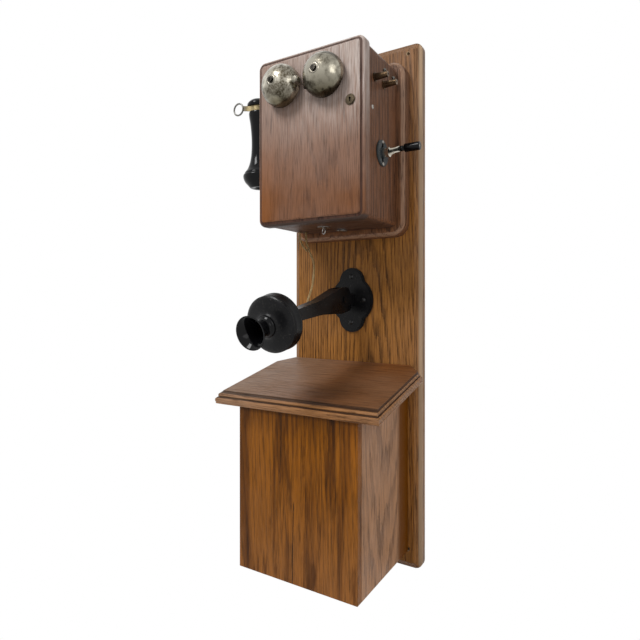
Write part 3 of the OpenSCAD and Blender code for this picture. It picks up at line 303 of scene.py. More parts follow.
# Long backboard
#
# One plank of plain-sawn oak with a moulded edge all round, under shellac. It
# hung from four wood screws, whose empty holes have pale bare rims.
def foot(height):
    """A height above the board's lower edge, in millimetres, in the frame."""
    return (height - BOARD_HIGH / 2) * MM


RING_SCALE = 0.314  # a wave node at this scale draws its rings a metre apart


def oak(name, pale, deep, cast, along="Z", pith=(0.0, 0.4, 0.0), lean=0.05, spacing=0.006,
        bite=1.0, pores=0.75, gloss=0.42, tint_span=("Z", 0.30, 0.60), seed=0.0, wander=0.036):
    """Oak under shellac: growth rings about a leaning pith, open pores and a tint that
    grows along an axis from one place to another: an aged colour on most boards, and
    a painted sheen on the door and the shelf."""
    finish = new_finish(name, pale, gloss, Specular_IOR_Level=0.10)
    squeeze = {"X": (0.07, 1, 1), "Y": (1, 0.07, 1), "Z": (1, 1, 0.07)}[along]
    turn = {"X": (0, math.pi / 2, 0), "Y": (math.pi / 2, 0, 0), "Z": (0, 0, 0)}[along]
    rings_at = on_object(finish, shift=(-pith[0], -pith[1], -pith[2]),
                         turn=(turn[0] + lean, turn[1] + lean * 0.6, 0))
    stretched = on_object(finish, squeeze, (seed, seed * 0.7, seed * 0.3))
    fine = on_object(finish, tuple(s if s == 1 else 0.04 for s in squeeze), (seed, 0, seed))
    drift = node(finish, "ShaderNodeTexNoise", {
        "Vector": stretched, "Scale": 16.0, "Detail": 4.0, "Roughness": 0.6})
    drift_by = node(finish, "ShaderNodeVectorMath", {
        0: drift.outputs["Color"], 1: (0.5, 0.5, 0.5)}, operation="SUBTRACT").outputs[0]
    drift_by = node(finish, "ShaderNodeVectorMath", {
        0: drift_by, 3: wander}, operation="SCALE").outputs[0]
    wandering = node(finish, "ShaderNodeVectorMath", {
        0: rings_at, 1: drift_by}, operation="ADD").outputs[0]
    rings = node(finish, "ShaderNodeTexWave", {
        "Vector": wandering, "Scale": RING_SCALE / spacing, "Distortion": 0.8, "Detail": 3.0,
        "Detail Scale": 3.0}, wave_type="RINGS", rings_direction="Z",
        wave_profile="SAW").outputs["Fac"]
    band = node(finish, "ShaderNodeValToRGB", {"Fac": rings})
    stops = band.color_ramp.elements
    stops[0].position, stops[0].color = 0.0, (1, 1, 1, 1)
    stops[1].position, stops[1].color = 1.0, (0.7, 0.7, 0.7, 1)
    for at, value in ((0.2, 0.8), (0.4, 0.2), (0.66, 0.0), (0.92, 0.12)):
        stops.new(at).color = (value, value, value, 1)
    patchy = between(finish, clouds(finish, stretched, 22, 3), 0.32, 0.64, 0.35, 1.0)
    dark = times(finish, times(finish, band.outputs["Color"], patchy), bite)
    grain = clouds(finish, fine, 620, 3, 0.65)
    open_pores = times(finish, between(finish, grain, 0.50, 0.62),
                       between(finish, band.outputs["Color"], 0.0, 0.7, 0.4, 1.0))
    place = node(finish, "ShaderNodeSeparateXYZ", {
        "Vector": on_object(finish)}).outputs[tint_span[0]]
    patina_and_sheen = between(finish, clouds(finish, on_object(finish, shift=(seed, 0, 0)), 7, 4),
                     0.34, 0.66, 0.0, 0.32)
    patina_and_sheen = times(finish, patina_and_sheen, between(finish, place, tint_span[1], tint_span[2], 0.0, 0.75), "ADD")
    ground = blended(finish, dark, pale, deep)
    aged = blended(finish, patina_and_sheen, ground, blended(finish, 0.70, ground, cast))
    aged = blended(finish, between(finish, grain, 0.36, 0.64, 0.45, 0.0), aged,
                   (1.75, 1.75, 1.75), "MULTIPLY")
    colour = blended(finish, times(finish, open_pores, pores), aged,
                     tuple(c * 0.35 for c in deep))
    smears = clouds(finish, on_object(finish), 24, 3)
    rough = times(finish, between(finish, smears, 0.3, 0.7, gloss - 0.08, gloss + 0.10),
                  times(finish, open_pores, 0.12), "ADD")
    return coloured(finish, colour, rough, bump=times(finish, grain, -1.0), height=0.0006)


def spread(finish, axis, low, high, to_low=0.0, to_high=1.0):
    """A value that grows along an axis of the frame from one place to another."""
    place = node(finish, "ShaderNodeSeparateXYZ", {"Vector": on_object(finish)})
    return between(finish, place.outputs[axis], low, high, to_low, to_high)


def tinted(finish, mask, tint, how="MIX"):
    """Lays a tint over a finish's colour where the mask is 1."""
    under = finish.node_tree.nodes["Principled BSDF"].inputs["Base Color"].links[0].from_socket
    return coloured(finish, blended(finish, mask, under, tint, how))


def mesh_of(bm, name, smooth=35):
    """Ends a bmesh: joins doubles, turns faces outwards and shades round parts smooth."""
    bmesh.ops.remove_doubles(bm, verts=bm.verts, dist=1e-6)
    bmesh.ops.recalc_face_normals(bm, faces=bm.faces)
    mesh = bpy.data.meshes.new(name)
    bm.to_mesh(mesh)
    bm.free()
    mesh.shade_smooth()
    mesh.set_sharp_from_angle(angle=math.radians(smooth))
    return mesh


def moulded(bm, face, profile, groove=(), drawn_in=None):
    """Raises a face as a moulding plane shapes a board's edge, through the profile's
    points of (in from the outline, out from the face) in millimetres. The steps whose
    numbers are in groove get the second finish. drawn_in may give a side its own inset,
    from that side's inward normal and the profile's inset."""
    face.normal_update()
    out = face.normal.copy()
    corners = [loop.vert.co.copy() for loop in face.loops]
    mitres = []
    for i, corner in enumerate(corners):
        before = out.cross((corner - corners[i - 1]).normalized())
        after = out.cross((corners[(i + 1) % len(corners)] - corner).normalized())
        mitres.append((before, after))
    at = dict(zip([loop.vert for loop in face.loops], zip(corners, mitres)))
    for number, (inwards, outwards) in enumerate(profile):
        if number:
            grown = bmesh.ops.extrude_face_region(bm, geom=[face])["geom"]
            top = [g for g in grown if isinstance(g, bmesh.types.BMFace)][0]
            nearest = {}
            for vert in top.verts:
                nearest[vert] = min(at, key=lambda v: (v.co - vert.co).length)
            at = {vert: at[old] for vert, old in nearest.items()}
            if face.is_valid:
                bmesh.ops.delete(bm, geom=[face], context="FACES_ONLY")
            for edge in top.edges:
                for side in edge.link_faces:
                    if side is not top:
                        side.material_index = 1 if number in groove else 0
            face = top
        for vert, (corner, (before, after)) in at.items():
            a, b = (drawn_in(n, inwards) if drawn_in else inwards for n in (before, after))
            c = before.dot(after)
            mitre = ((a - b * c) * before + (b - a * c) * after) / (1 - c * c)
            vert.co = corner + mitre * MM + out * outwards * MM


def plank(wide, high, corner, profile, groove, segments=8):
    """A round-cornered board with a moulded edge, its back at y = 0, centred."""
    bm = bmesh.new()
    bmesh.ops.create_grid(bm, x_segments=1, y_segments=1, size=0.5)
    bmesh.ops.scale(bm, verts=bm.verts, vec=(wide * MM, high * MM, 1))
    bmesh.ops.bevel(bm, geom=bm.verts[:], affect="VERTICES", offset=corner * MM,
                    segments=segments, profile=0.5, material=-1)
    bmesh.ops.rotate(bm, verts=bm.verts, matrix=Matrix.Rotation(math.pi / 2, 3, "X"))
    bm.faces.ensure_lookup_table()
    bm.normal_update()
    face = bm.faces[0]
    if face.normal.y > 0:
        face.normal_flip()
    back = bmesh.ops.duplicate(bm, geom=[face])["geom"]
    back = [g for g in back if isinstance(g, bmesh.types.BMFace)][0]
    back.normal_flip()
    moulded(bm, face, profile, groove)
    moulded(bm, back, [(profile[0][0], 0)])
    return bm


def evened(piece):
    """Lets a piece's large flat faces stay flat where they meet rounded edges."""
    even = piece.modifiers.new("even", "WEIGHTED_NORMAL")
    even.weight = 90
    even.keep_sharp = True


def cut(piece, cutter_bm, name):
    """Cuts holes out of a piece with the solid in a bmesh."""
    tool = bpy.data.objects.new(name, mesh_of(cutter_bm, name))
    for f in piece.data.materials:
        tool.data.materials.append(f)
    bpy.context.scene.collection.objects.link(tool)
    hole = piece.modifiers.new("hole", "BOOLEAN")
    hole.object = tool
    hole.operation = "DIFFERENCE"
    hole.solver = "EXACT"
    bpy.context.view_layer.update()
    cut_mesh = bpy.data.meshes.new_from_object(
        piece.evaluated_get(bpy.context.evaluated_depsgraph_get()))
    piece.modifiers.clear()
    piece.data = cut_mesh
    evened(piece)
    bpy.data.objects.remove(tool)


def turned(bm, profile, segments, place, finish=0):
    """Turns a closed profile of (radius, along) in millimetres about Z, then places it."""
    verts = [bm.verts.new((r * MM, 0, h * MM)) for r, h in profile]
    edges = [bm.edges.new((a, b)) for a, b in zip(verts, verts[1:] + verts[:1])]
    before = set(bm.faces)
    bmesh.ops.spin(bm, geom=verts + edges, cent=(0, 0, 0), axis=(0, 0, 1),
                   angle=math.tau, steps=segments, use_merge=True, use_duplicate=False)
    new = [f for f in bm.faces if f not in before]
    points = list({v for f in new for v in f.verts})
    bmesh.ops.remove_doubles(bm, verts=points, dist=1e-7)
    new = [f for f in bm.faces if f not in before]
    for f in new:
        f.material_index = finish
    bmesh.ops.transform(bm, matrix=place, verts=list({v for f in new for v in f.verts}))


def seat(at, along="Z"):
    """Where a turned piece stands: its foot at a point in millimetres, its axis out
    along -Y, X or Z."""
    turn = {"Z": Matrix.Identity(4), "-Y": Matrix.Rotation(math.pi / 2, 4, "X"),
            "X": Matrix.Rotation(math.pi / 2, 4, "Y")}[along]
    return Matrix.Translation(Vector(at) * MM) @ turn


board_oak = oak("golden_oak_board", (0.37, 0.155, 0.033), (0.085, 0.036, 0.011),
                (0.24, 0.145, 0.095), pith=(0.03, 0.055, 0.1), lean=0.035, spacing=0.0046,
                tint_span=("Z", 0.15, 0.42), seed=1.3, wander=0.024)
board_moulding = oak("moulded_oak_edge", (0.34, 0.150, 0.045), (0.090, 0.038, 0.013),
                     (0.21, 0.13, 0.085), pith=(0.03, 0.055, 0.1), lean=0.035,
                     spacing=0.0046, bite=0.8, gloss=0.32, tint_span=("Z", 0.15, 0.42), seed=1.3)
# A painted highlight makes the arris on the right pale.
tinted(board_moulding, times(
    board_moulding, spread(board_moulding, "X", 0.1255, 0.1285),
    spread(board_moulding, "Y", -0.010, -0.0125)), (0.52, 0.36, 0.23))
bare_oak = new_finish("bare_oak_rim", (0.42, 0.30, 0.18), 0.8)
coloured(bare_oak, bump=clouds(bare_oak, on_object(bare_oak), 900, 3), height=0.0002)
BOARD_WIDE = 265
BOARD_THICK = 22
BOARD_CORNER = 14
BOARD_PROFILE = [(0.8, 0), (0, 0.8), (0, 11.5), (0.3, 12.8), (0.9, 13.6), (1.8, 14.2),
                 (3, 14.5), (6, 16.4), (9, 18.6), (11.8, 20), (12, 21.5), (13, BOARD_THICK)]
bm = plank(BOARD_WIDE, BOARD_HIGH, BOARD_CORNER, BOARD_PROFILE, groove=range(2, 11))
backboard = shown("backboard_plank", mesh_of(bm, "backboard_plank"), "cabinet",
                  [board_oak, board_moulding, bare_oak], ("backboard",))
bm = bmesh.new()
for x in (-109.5, 109.5):
    for high in (35, 895):
        turned(bm, [(0, -40), (2.6, -40), (2.6, 20.6), (4.3, 23), (0, 23)], 32,
               seat((x, 0, high - BOARD_HIGH / 2), "-Y"), finish=2)
cut(backboard, bm, "wall_screw_holes")


# Mounting board
#
# A second, smaller oak board behind the ringer box, with a heavy beaded edge
# whose paler finish is a painted highlight.
case_oak = oak("red_brown_oak", (0.21, 0.083, 0.029), (0.055, 0.022, 0.010),
               (0.16, 0.105, 0.08), pith=(0.02, 0.3, 0.0), spacing=0.006, bite=0.8,
               gloss=0.36, tint_span=("Z", 0.2, 0.5), seed=4.1)
# The bead is painted paler as a highlight.
case_bead = oak("painted_highlight_oak_bead", (0.33, 0.175, 0.098), (0.13, 0.062, 0.034),
                (0.30, 0.21, 0.16), pith=(0.02, 0.3, 0.0), spacing=0.006, bite=0.7,
                gloss=0.3, tint_span=("Z", 0.2, 0.5), seed=4.1)
SUB_PROFILE = [(0, 0), (0, 13.4), (0.3, 13.9), (1.2, 14.3), (1.3, 14.8), (1.2, 15.3), (0.6, 15.8),
               (0.5, 16.5), (0.6, 17.4), (0.9, 18.2), (1.4, 19.1), (2.1, 20), (3, 20.9), (4, 21.6),
               (5.2, 22.3), (6.6, 22.9), (8, 23.3), (9.6, 23.7), (12, 24)]
SUB_WIDE = 224
SUB_HIGH = 299.6
SUB_CORNER = 25
SUB_MIDDLE = 727.2
bm = plank(SUB_WIDE, SUB_HIGH, SUB_CORNER, SUB_PROFILE, groove=range(9, 16), segments=12)
bmesh.ops.translate(bm, verts=bm.verts, vec=(0, -BOARD_THICK * MM, foot(SUB_MIDDLE)))
evened(shown("mounting_board", mesh_of(bm, "mounting_board"), "cabinet",
             [case_oak, case_bead], ("sub_base",)))


# Ringer box
#
# Four oak boards, mitred and glued at the corners, with the outer corners
# rounded over. The right one is bored for the crank and the line posts.
def softened(name, finish, round_by, angle=35):
    """Gives a piece of the frame its finish, and takes the sharpness off its edges."""
    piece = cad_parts[name]
    piece.data.materials.clear()
    piece.data.materials.append(finish)
    piece.data.polygons.foreach_set("use_smooth", [True] * len(piece.data.polygons))
    weld = piece.modifiers.new("weld", "WELD")
    weld.merge_threshold = 1e-5
    if round_by:
        flat = piece.modifiers.new("flat", "DECIMATE")
        flat.decimate_type = "DISSOLVE"
        flat.angle_limit = math.radians(0.4)
        edge = piece.modifiers.new("edge", "BEVEL")
        edge.width = round_by * MM
        edge.segments = 2
        edge.limit_method = "ANGLE"
        edge.angle_limit = math.radians(angle)
    else:
        crisp = piece.modifiers.new("crisp", "EDGE_SPLIT")
        crisp.split_angle = math.radians(angle)
    even = piece.modifiers.new("even", "WEIGHTED_NORMAL")
    even.weight = 80


case_side = oak("red_brown_oak_side", (0.20, 0.076, 0.028), (0.050, 0.021, 0.011),
                (0.16, 0.105, 0.08), pith=(0.25, -0.06, 0.0), spacing=0.0055, bite=0.9,
                gloss=0.36, tint_span=("Z", 0.2, 0.55), seed=6.2)
case_end = oak("red_brown_oak_end", (0.12, 0.056, 0.032), (0.045, 0.021, 0.014),
               (0.15, 0.10, 0.08), along="X", pith=(0.0, -0.06, 0.6), spacing=0.006,
               bite=0.8, gloss=0.38, tint_span=("Z", 0.2, 0.6), seed=7.7)
for board in ("ringer_side_left", "ringer_side_right"):
    softened(board, case_side, 0.4)
for board in ("ringer_top", "ringer_bottom"):
    softened(board, case_end, 0.4)


# Door
#
# A single oak panel on two brass hinges. Its edge has a rounded lip, a dark
# quirk, painted dark for old wax and for the shade that falls in it, and a small
# bevel. A grey sheen is painted on the upper part, a strip low on the left is
# warmer, and the lower edge is painted dark as shade.
# Its pale grey tint that grows towards the top is a painted sheen.
door_oak = oak("door_oak", (0.180, 0.071, 0.028), (0.080, 0.031, 0.015),
               (0.40, 0.30, 0.255), pith=(0.035, 0.25, 0.2), lean=0.04, spacing=0.0052,
               bite=0.55, pores=0.38, gloss=0.38, tint_span=("Z", 0.17, 0.32), seed=2.4)
# A painted sheen in fine lines over the upper part.
painted_sheen_lines = between(
    door_oak, clouds(door_oak, on_object(door_oak, (1, 1, 0.05)), 520, 3, 0.65),
    0.38, 0.62, 0.1, 1.0)
painted_sheen = times(door_oak, spread(door_oak, "Z", 0.255, 0.345),
               spread(door_oak, "X", -0.10, 0.04, 0.1, 0.85))
warmer = times(door_oak, spread(door_oak, "Z", 0.30, 0.16),
               spread(door_oak, "X", -0.055, -0.095, 0.0, 0.7))
# Painted shade on the lower edge, which faces down.
shaded_lower_edge = spread(door_oak, "Z", 0.1415, 0.1385)
tinted(door_oak, times(door_oak, painted_sheen, painted_sheen_lines), (0.68, 0.59, 0.54))
tinted(door_oak, warmer, (0.33, 0.115, 0.028))
tinted(door_oak, shaded_lower_edge, (0.085, 0.055, 0.043))
# The quirk's dark finish is painted for old wax and for the shade that falls in it.
door_quirk = oak("door_quirk", (0.075, 0.034, 0.022), (0.035, 0.016, 0.012),
                 (0.13, 0.09, 0.075), pith=(0.035, 0.25, 0.2), spacing=0.0052, bite=0.6,
                 gloss=0.45, tint_span=("Z", 0.2, 0.5), seed=2.4)
DOOR_PROFILE = [(0, 0), (0, 11), (0.15, 12), (0.4, 13), (0.9, 13.9), (1.4, 14.5), (2, 15.1),
                (2.8, 15.6), (3.8, 16), (5, 16.25), (7.4, 16.4), (7.6, 17.2), (10.7, 19)]
DOOR_WIDE = 202
DOOR_HIGH = 277
DOOR_CORNER = 12.5
DOOR_BACK = -153.7
DOOR_MIDDLE = 728.5
KEY_HOLE = (78, 313)
HAMMER_HOLE = (-2.8, 350.5)
GONG_PLACES = (("left", -42.6), ("right", 37.0))
GONG_HIGH = 355
bm = plank(DOOR_WIDE, DOOR_HIGH, DOOR_CORNER, DOOR_PROFILE, groove=(9, 10, 11))
bmesh.ops.translate(bm, verts=bm.verts, vec=(0, DOOR_BACK * MM, foot(DOOR_MIDDLE)))
door = shown("door_board", mesh_of(bm, "door_board"), "door", [door_oak, door_quirk],
             ("door_panel",))
bm = bmesh.new()
bores = [(*KEY_HOLE, 4.05, 32), (*HAMMER_HOLE, 4.6, 32)]
bores += [(x, GONG_HIGH, 3.05, 24) for side, x in GONG_PLACES]
for x, high, radius, sides in bores:
    turned(bm, [(0, -2), (radius, -2), (radius, 24), (0, 24)], sides,
           seat((x, DOOR_BACK, high), "-Y"))
cut(door, bm, "door_bores")


# Gongs
#
# Two spun and nickelled gongs on steel posts. The plating is tarnished brown in
# patches and worn dull in a ring round the sunk black screw. Each gong is painted
# darker below as shade and dark reflection, and the right one is darker all over.
def worn_metal(name, bright, dull, rough=(0.22, 0.5), scale=45, share=(0.42, 0.62),
               pits=0.00006):
    """Bare or plated metal, tarnished in patches."""
    finish = new_finish(name, bright, rough[0], 1.0)
    patches = clouds(finish, on_object(finish), scale, 5, 0.62, 0.4)
    fine = clouds(finish, on_object(finish), scale * 9, 3)
    tarnish = between(finish, patches, *share)
    mottled = times(finish, tarnish, between(finish, fine, 0.3, 0.6, 0.55, 1.0))
    return coloured(finish, blended(finish, mottled, bright, dull),
                    between(finish, mottled, 0, 1, *rough),
                    bump=clouds(finish, on_object(finish), scale * 4, 3), height=pits)


nickel = worn_metal("tarnished_and_shaded_nickel", (0.66, 0.62, 0.52), (0.085, 0.070, 0.046),
                    (0.18, 0.44), 42, (0.40, 0.60), 0.00008)
bright_nickel = worn_metal("rubbed_nickel", (0.56, 0.52, 0.44), (0.26, 0.23, 0.17),
                           (0.16, 0.34), 60, (0.45, 0.75))
dark_steel = worn_metal("dark_steel", (0.10, 0.095, 0.085), (0.03, 0.026, 0.022),
                        (0.3, 0.55), 90)
plain_steel = worn_metal("plain_steel", (0.48, 0.47, 0.45), (0.22, 0.19, 0.16),
                         (0.25, 0.5), 60)
# Painted shade and dark reflection: darker towards each gong's lower rim.
tinted(nickel, spread(nickel, "Z", 0.352, 0.326, 0.0, 0.95), (0.20, 0.18, 0.13), "MULTIPLY")
tinted(nickel, spread(nickel, "X", 0.0, 0.004, 0.0, 0.7), (0.42, 0.41, 0.38), "MULTIPLY")
worn_ring = worn_metal("worn_gong_ring", (0.26, 0.24, 0.20), (0.09, 0.08, 0.06),
                       (0.3, 0.5), 60, (0.4, 0.7))
screw_black = worn_metal("blacked_screw", (0.055, 0.05, 0.042), (0.018, 0.016, 0.014),
                         (0.3, 0.5), 120)


def gong_profile():
    """Skirt and dome of a gong up to its crown, outside and then inside."""
    radius, skirt, rise, wall = 33.8, 3, 28, 1.6
    outside, inside = [(radius, 0), (radius, 1.2)], [(radius - wall, 0)]
    for step in range(15):
        a = math.radians(90 * step / 16)
        outside.append((radius * math.cos(a), skirt + rise * math.sin(a)))
        inside.append(((radius - wall) * math.cos(a), skirt + (rise - wall) * math.sin(a)))
    return outside, inside


GONG_FOOT = -180.7
WORN_RADII = (4.8, 8.6)
WORN_ABOVE = 30.9
outer, inner = gong_profile()
crown = [(8.7, 30.4), (8.2, 31.2), (7.4, 31.6), (5.8, 31.6), (4.9, 31.2), (4.7, 30.7),
         (2.3, 30.6)]
outer = [p for p in outer if p[0] > 9.2]
inner = [p for p in inner if p[0] > 6.2] + [(6.0, 28.89), (2.3, 28.89)]
for side, x in GONG_PLACES:
    bm = bmesh.new()
    turned(bm, outer + crown + inner[::-1], 96, seat((x, GONG_FOOT, GONG_HIGH), "-Y"))
    for f in bm.faces:
        c = f.calc_center_median() / MM - Vector((x, GONG_FOOT, GONG_HIGH))
        if WORN_RADII[0] < math.hypot(c.x, c.z) < WORN_RADII[1] and -c.y > WORN_ABOVE:
            f.material_index = 1
    shown("gong_shell_" + side, mesh_of(bm, "gong_shell_" + side), "door",
          [nickel, worn_ring], ("gong_" + side,))
softened("gong_posts", plain_steel, 0.25)
softened("gong_screws", screw_black, 0.25)
softened("clapper", worn_ring, 0)


# Lock
#
# A small brass cupboard lock. Only the round key escutcheon shows outside. The
# hinges of the door and of the shelf are of the same brass.
brass = worn_metal("aged_brass", (0.24, 0.17, 0.085), (0.07, 0.048, 0.026), (0.26, 0.5), 70,
                   (0.38, 0.62))
lock_brass = worn_metal("dark_lock_brass", (0.085, 0.066, 0.043), (0.03, 0.023, 0.015),
                        (0.3, 0.5), 120, (0.35, 0.6))
softened("lock_escutcheon", lock_brass, 0.3)
softened("lock_case", brass, 0.4)
softened("lock_bolt", plain_steel, 0.3)
for name in ("fixed_hinge_leaves", "door_hinge_leaves", "lid_hinge_leaves"):
    softened(name, brass, 0.15)
softened("hinge_pins", plain_steel, 0.2)


# Line posts
#
# Two turned brass posts for the line wires, screwed into the box's right side.
# Each has a set screw from above.
dark_brass = worn_metal("browned_brass", (0.20, 0.13, 0.07), (0.045, 0.028, 0.018),
                        (0.26, 0.48), 80, (0.35, 0.6))
softened("binding_posts", dark_brass, 0.3)
softened("binding_post_screws", dark_steel, 0.2)


# Crank
#
# A black cast plate carries the crank. The arm is nickelled and the grip is
# turned hard rubber that spins on the arm's pin.
def black_japan(name, base=(0.003, 0.003, 0.0035), worn=(0.17, 0.16, 0.14), chips=(0.62, 0.70),
                gloss=(0.26, 0.42)):
    """Baked black varnish on iron: slightly rippled, with chips down to the metal."""
    finish = new_finish(name, base, gloss[0], Specular_IOR_Level=0.16)
    specks = between(finish, clouds(finish, on_object(finish), 520, 4, 0.8), *chips)
    dust = between(finish, clouds(finish, on_object(finish), 30, 4), 0.4, 0.75)
    ground = blended(finish, dust, base, tuple(c * 1.8 + 0.002 for c in base))
    ripple = clouds(finish, on_object(finish), 260, 2)
    return coloured(finish, blended(finish, specks, ground, worn),
                    between(finish, dust, 0, 1, *gloss),
                    metal=times(finish, specks, 0.7), bump=ripple, height=0.00010)


japan = black_japan("black_japan")
plate_iron = black_japan("gunmetal_plate", (0.028, 0.034, 0.036), (0.30, 0.29, 0.26),
                         (0.60, 0.70), (0.30, 0.5))
rubber = new_finish("hard_rubber", (0.0025, 0.0025, 0.003), 0.14, Specular_IOR_Level=0.16)
coloured(rubber, rough=between(rubber, clouds(rubber, on_object(rubber), 60, 3), 0.35, 0.7,
                               0.06, 0.16))
softened("crank_plate", plate_iron, 0.4)
screw_steel = worn_metal("screw_steel", (0.42, 0.41, 0.38), (0.2, 0.17, 0.14), (0.3, 0.5), 60)
# Those of the transmitter's plate, lower down, are blacked.
tinted(screw_steel, spread(screw_steel, "Z", 0.15, 0.12), (0.035, 0.035, 0.035))
softened("round_head_screws", screw_steel, 0)
softened("crank_shaft", plain_steel, 0.4)
softened("crank_arm", bright_nickel, 0)
softened("crank_grip", rubber, 0)
softened("drive_gear", brass, 0)


# Receiver
#
# A bipolar receiver of polished hard rubber: a waisted shell with screwed caps.
# A long steel magnet and an iron diaphragm are inside.
RECEIVER = (-147, -110, 216.2)


def receiver_piece(name, profile, node_name):
    """A turned piece of the receiver, from its profile above the ear cap's rim."""
    bm = bmesh.new()
    turned(bm, profile, 96, seat(RECEIVER))
    shown(name, mesh_of(bm, name, 50), "receiver", rubber, (node_name,))


receiver_piece("receiver_body", [
    (11, 147.6), (16, 147.6), (16, 138), (19.2, 138), (19.6, 137.1), (19.5, 133.8),
    (19.0, 129.2), (18.2, 124.5), (17.4, 120), (16.6, 114), (16, 108), (15.4, 101), (15, 95),
    (14.7, 88), (14.6, 80), (14.7, 73), (15.1, 65), (15.6, 59), (16.4, 53.5), (17.4, 48),
    (18.8, 43), (20.5, 38.2), (22.6, 33.8), (24.4, 31.2), (25.8, 29.6), (26.9, 28),
    (27.4, 26.6), (27.4, 24.5), (25.2, 24.5), (25.2, 14), (22, 14), (22, 24), (11, 48)],
    "receiver_shell")
receiver_piece("receiver_tail", [
    (0, 147.6), (22, 147.6), (22.5, 148), (22.7, 148.7), (22.7, 152.1), (22.4, 153.5),
    (21.6, 155), (20.2, 156.8), (18.2, 158.7), (16, 160.2), (13.2, 161.4), (10, 162.2),
    (6.7, 162.8), (3.4, 163.1), (0, 163.2)], "receiver_tail_cap")
receiver_piece("receiver_ear", [
    (6, 3), (7.2, 1.9), (9, 0.8), (11, 0.2), (13, 0), (15.4, 0), (17, 0.4), (18.8, 2),
    (20.5, 4), (23, 6.6), (25.5, 9.2), (27.3, 11.8), (28.6, 14.5), (29.4, 17), (29.9, 19.6),
    (30, 21), (29.8, 22.6), (29.3, 23.8), (28.4, 24.5), (25.2, 24.5), (25.2, 12), (22, 10),
    (6, 8)], "receiver_ear_cap")
softened("receiver_diaphragm", dark_steel, 0)
softened("receiver_magnet", plain_steel, 0)


# Switch hook
#
# A brass strap, forked round the receiver's neck and riveted to a steel eye.
# Inside the box it turns on a bracket and works the contact springs.
hook_strap = worn_metal("hook_brass", (0.31, 0.25, 0.135), (0.10, 0.075, 0.04), (0.25, 0.45),
                        80, (0.4, 0.65))
tinted(hook_strap, spread(hook_strap, "X", -0.160, -0.166), (0.17, 0.165, 0.15))
softened("switch_hook", hook_strap, 0.3)
softened("hook_bracket", plain_steel, 0.3)
softened("hook_springs", brass, 0.1)


# Underside
#
# A wire eye and a flat button of steel hang from the box's floor. Brass
# ferrules beside them line the holes of the two cords.
softened("underside_fittings", plain_steel, 0)
softened("cord_ferrules", brass, 0.2)


# Transmitter
#
# Cast and japanned iron: a four-lobed plate, a tapered arm that tilts on a
# pinching bolt, and a spun head with a hard rubber mouthpiece.
softened("transmitter_plate", japan, 0.7)
softened("transmitter_arm", japan, 1.2, angle=25)
softened("pivot_bolt", japan, 0.5)
softened("transmitter_button", brass, 0)
HEAD_FOOT = (0, -228.72, -16.27)
HEAD_TURN = Matrix.Rotation(math.radians(90 + 12.4), 4, "X")
HEAD = Matrix.Translation(Vector(HEAD_FOOT) * MM) @ HEAD_TURN


def head_piece(name, profile, node_name, finish):
    """A turned piece of the transmitter's head, from its profile before the arm's end."""
    bm = bmesh.new()
    turned(bm, profile, 112, HEAD)
    shown(name, mesh_of(bm, name, 40), "transmitter", finish, (node_name,))


head_piece("transmitter_shell", [
    (0, 0.4), (13, 0.4), (14.6, 1.4), (16, 3), (16.8, 5.4), (18, 8), (20.6, 10.4),
    (24.6, 12.6), (30, 14.6), (34.6, 15.8), (38, 16.7), (40.6, 17.8), (42.2, 19.2), (43, 20.8),
    (43, 23.6), (42.5, 24.6), (42.5, 33), (42.2, 36), (41.7, 36.7), (38.5, 36.7), (38.5, 20),
    (0, 20)], "transmitter_cup", japan)
head_piece("transmitter_front", [
    (9, 37), (41.3, 37), (42.0, 37.5), (42.3, 38.3), (42.2, 39.4), (41.2, 40.3),
    (39.5, 41.6), (36, 42.7), (32.5, 43.4), (28, 44.3), (24.5, 45), (21.4, 45.8), (19.2, 46.8),
    (17.6, 48), (16.6, 49), (13, 49), (13, 41), (9, 41)],
    "transmitter_face", japan)
head_piece("mouthpiece_horn", [
    (9.3, 49.3), (15.2, 49.3), (15.7, 49.7), (16, 50.4), (15.9, 51.2), (14.8, 52.4),
    (13.2, 53.6), (12.2, 55), (11.7, 57), (11.6, 59), (11.8, 62), (12.5, 65), (13.6, 68.6),
    (15.2, 72.6), (17.2, 76.6), (19.4, 79.8), (21.6, 82.4), (23.4, 83.7), (24.2, 84.0),
    (24.5, 84.5), (24.3, 85), (23.2, 85), (22.4, 84.4), (19.6, 81.6), (16.6, 78), (14, 74),
    (12, 70), (10.4, 66.4), (9.3, 63), (8.7, 60), (8.7, 57), (9.1, 54)],
    "mouthpiece", rubber)


# Shelf
#
# The sloping writing shelf is the lid of the battery box: an oak board with a
# double moulding at the front and sides, and its rear corners cut off.
# The grey tint that grows towards the left is a painted sheen.
shelf_oak = oak("shelf_oak", (0.180, 0.066, 0.019), (0.080, 0.028, 0.010),
                (0.30, 0.205, 0.14), along="X", pith=(0.0, 0.0, 0.3), lean=0.02,
                spacing=0.006, bite=0.45, pores=0.4, gloss=0.36, tint_span=("X", 0.03, -0.13),
                seed=9.4)
# The moulding's paler finish is its golden edge colour with a painted highlight on it.
shelf_moulding = oak("shelf_moulding", (0.37, 0.165, 0.055), (0.15, 0.062, 0.022),
                     (0.32, 0.20, 0.13), along="X", pith=(0.0, 0.0, 0.3), spacing=0.006,
                     bite=0.7, gloss=0.3, tint_span=("X", 0.03, -0.13), seed=9.4)
shelf_quirk = oak("shelf_quirk", (0.060, 0.025, 0.010), (0.03, 0.012, 0.006),
                  (0.10, 0.065, 0.045), along="X", spacing=0.006, bite=0.5, gloss=0.45,
                  tint_span=("X", 0.03, -0.13), seed=9.4)
SLOPE = math.radians(12.6)
SHELF_WIDE = 303
SHELF_OUT = 196
SHELF_LEFT = 5.5
SHELF_TOP = 355.7
SHELF_REAR = -24.6
SHELF_CREST = 13
# Each rear corner is cut off on a slant, and the cut is set back towards the wall.
CUT_DEEP = 36.5
CUT_WIDE = 30
CUT_BACK = 6.3


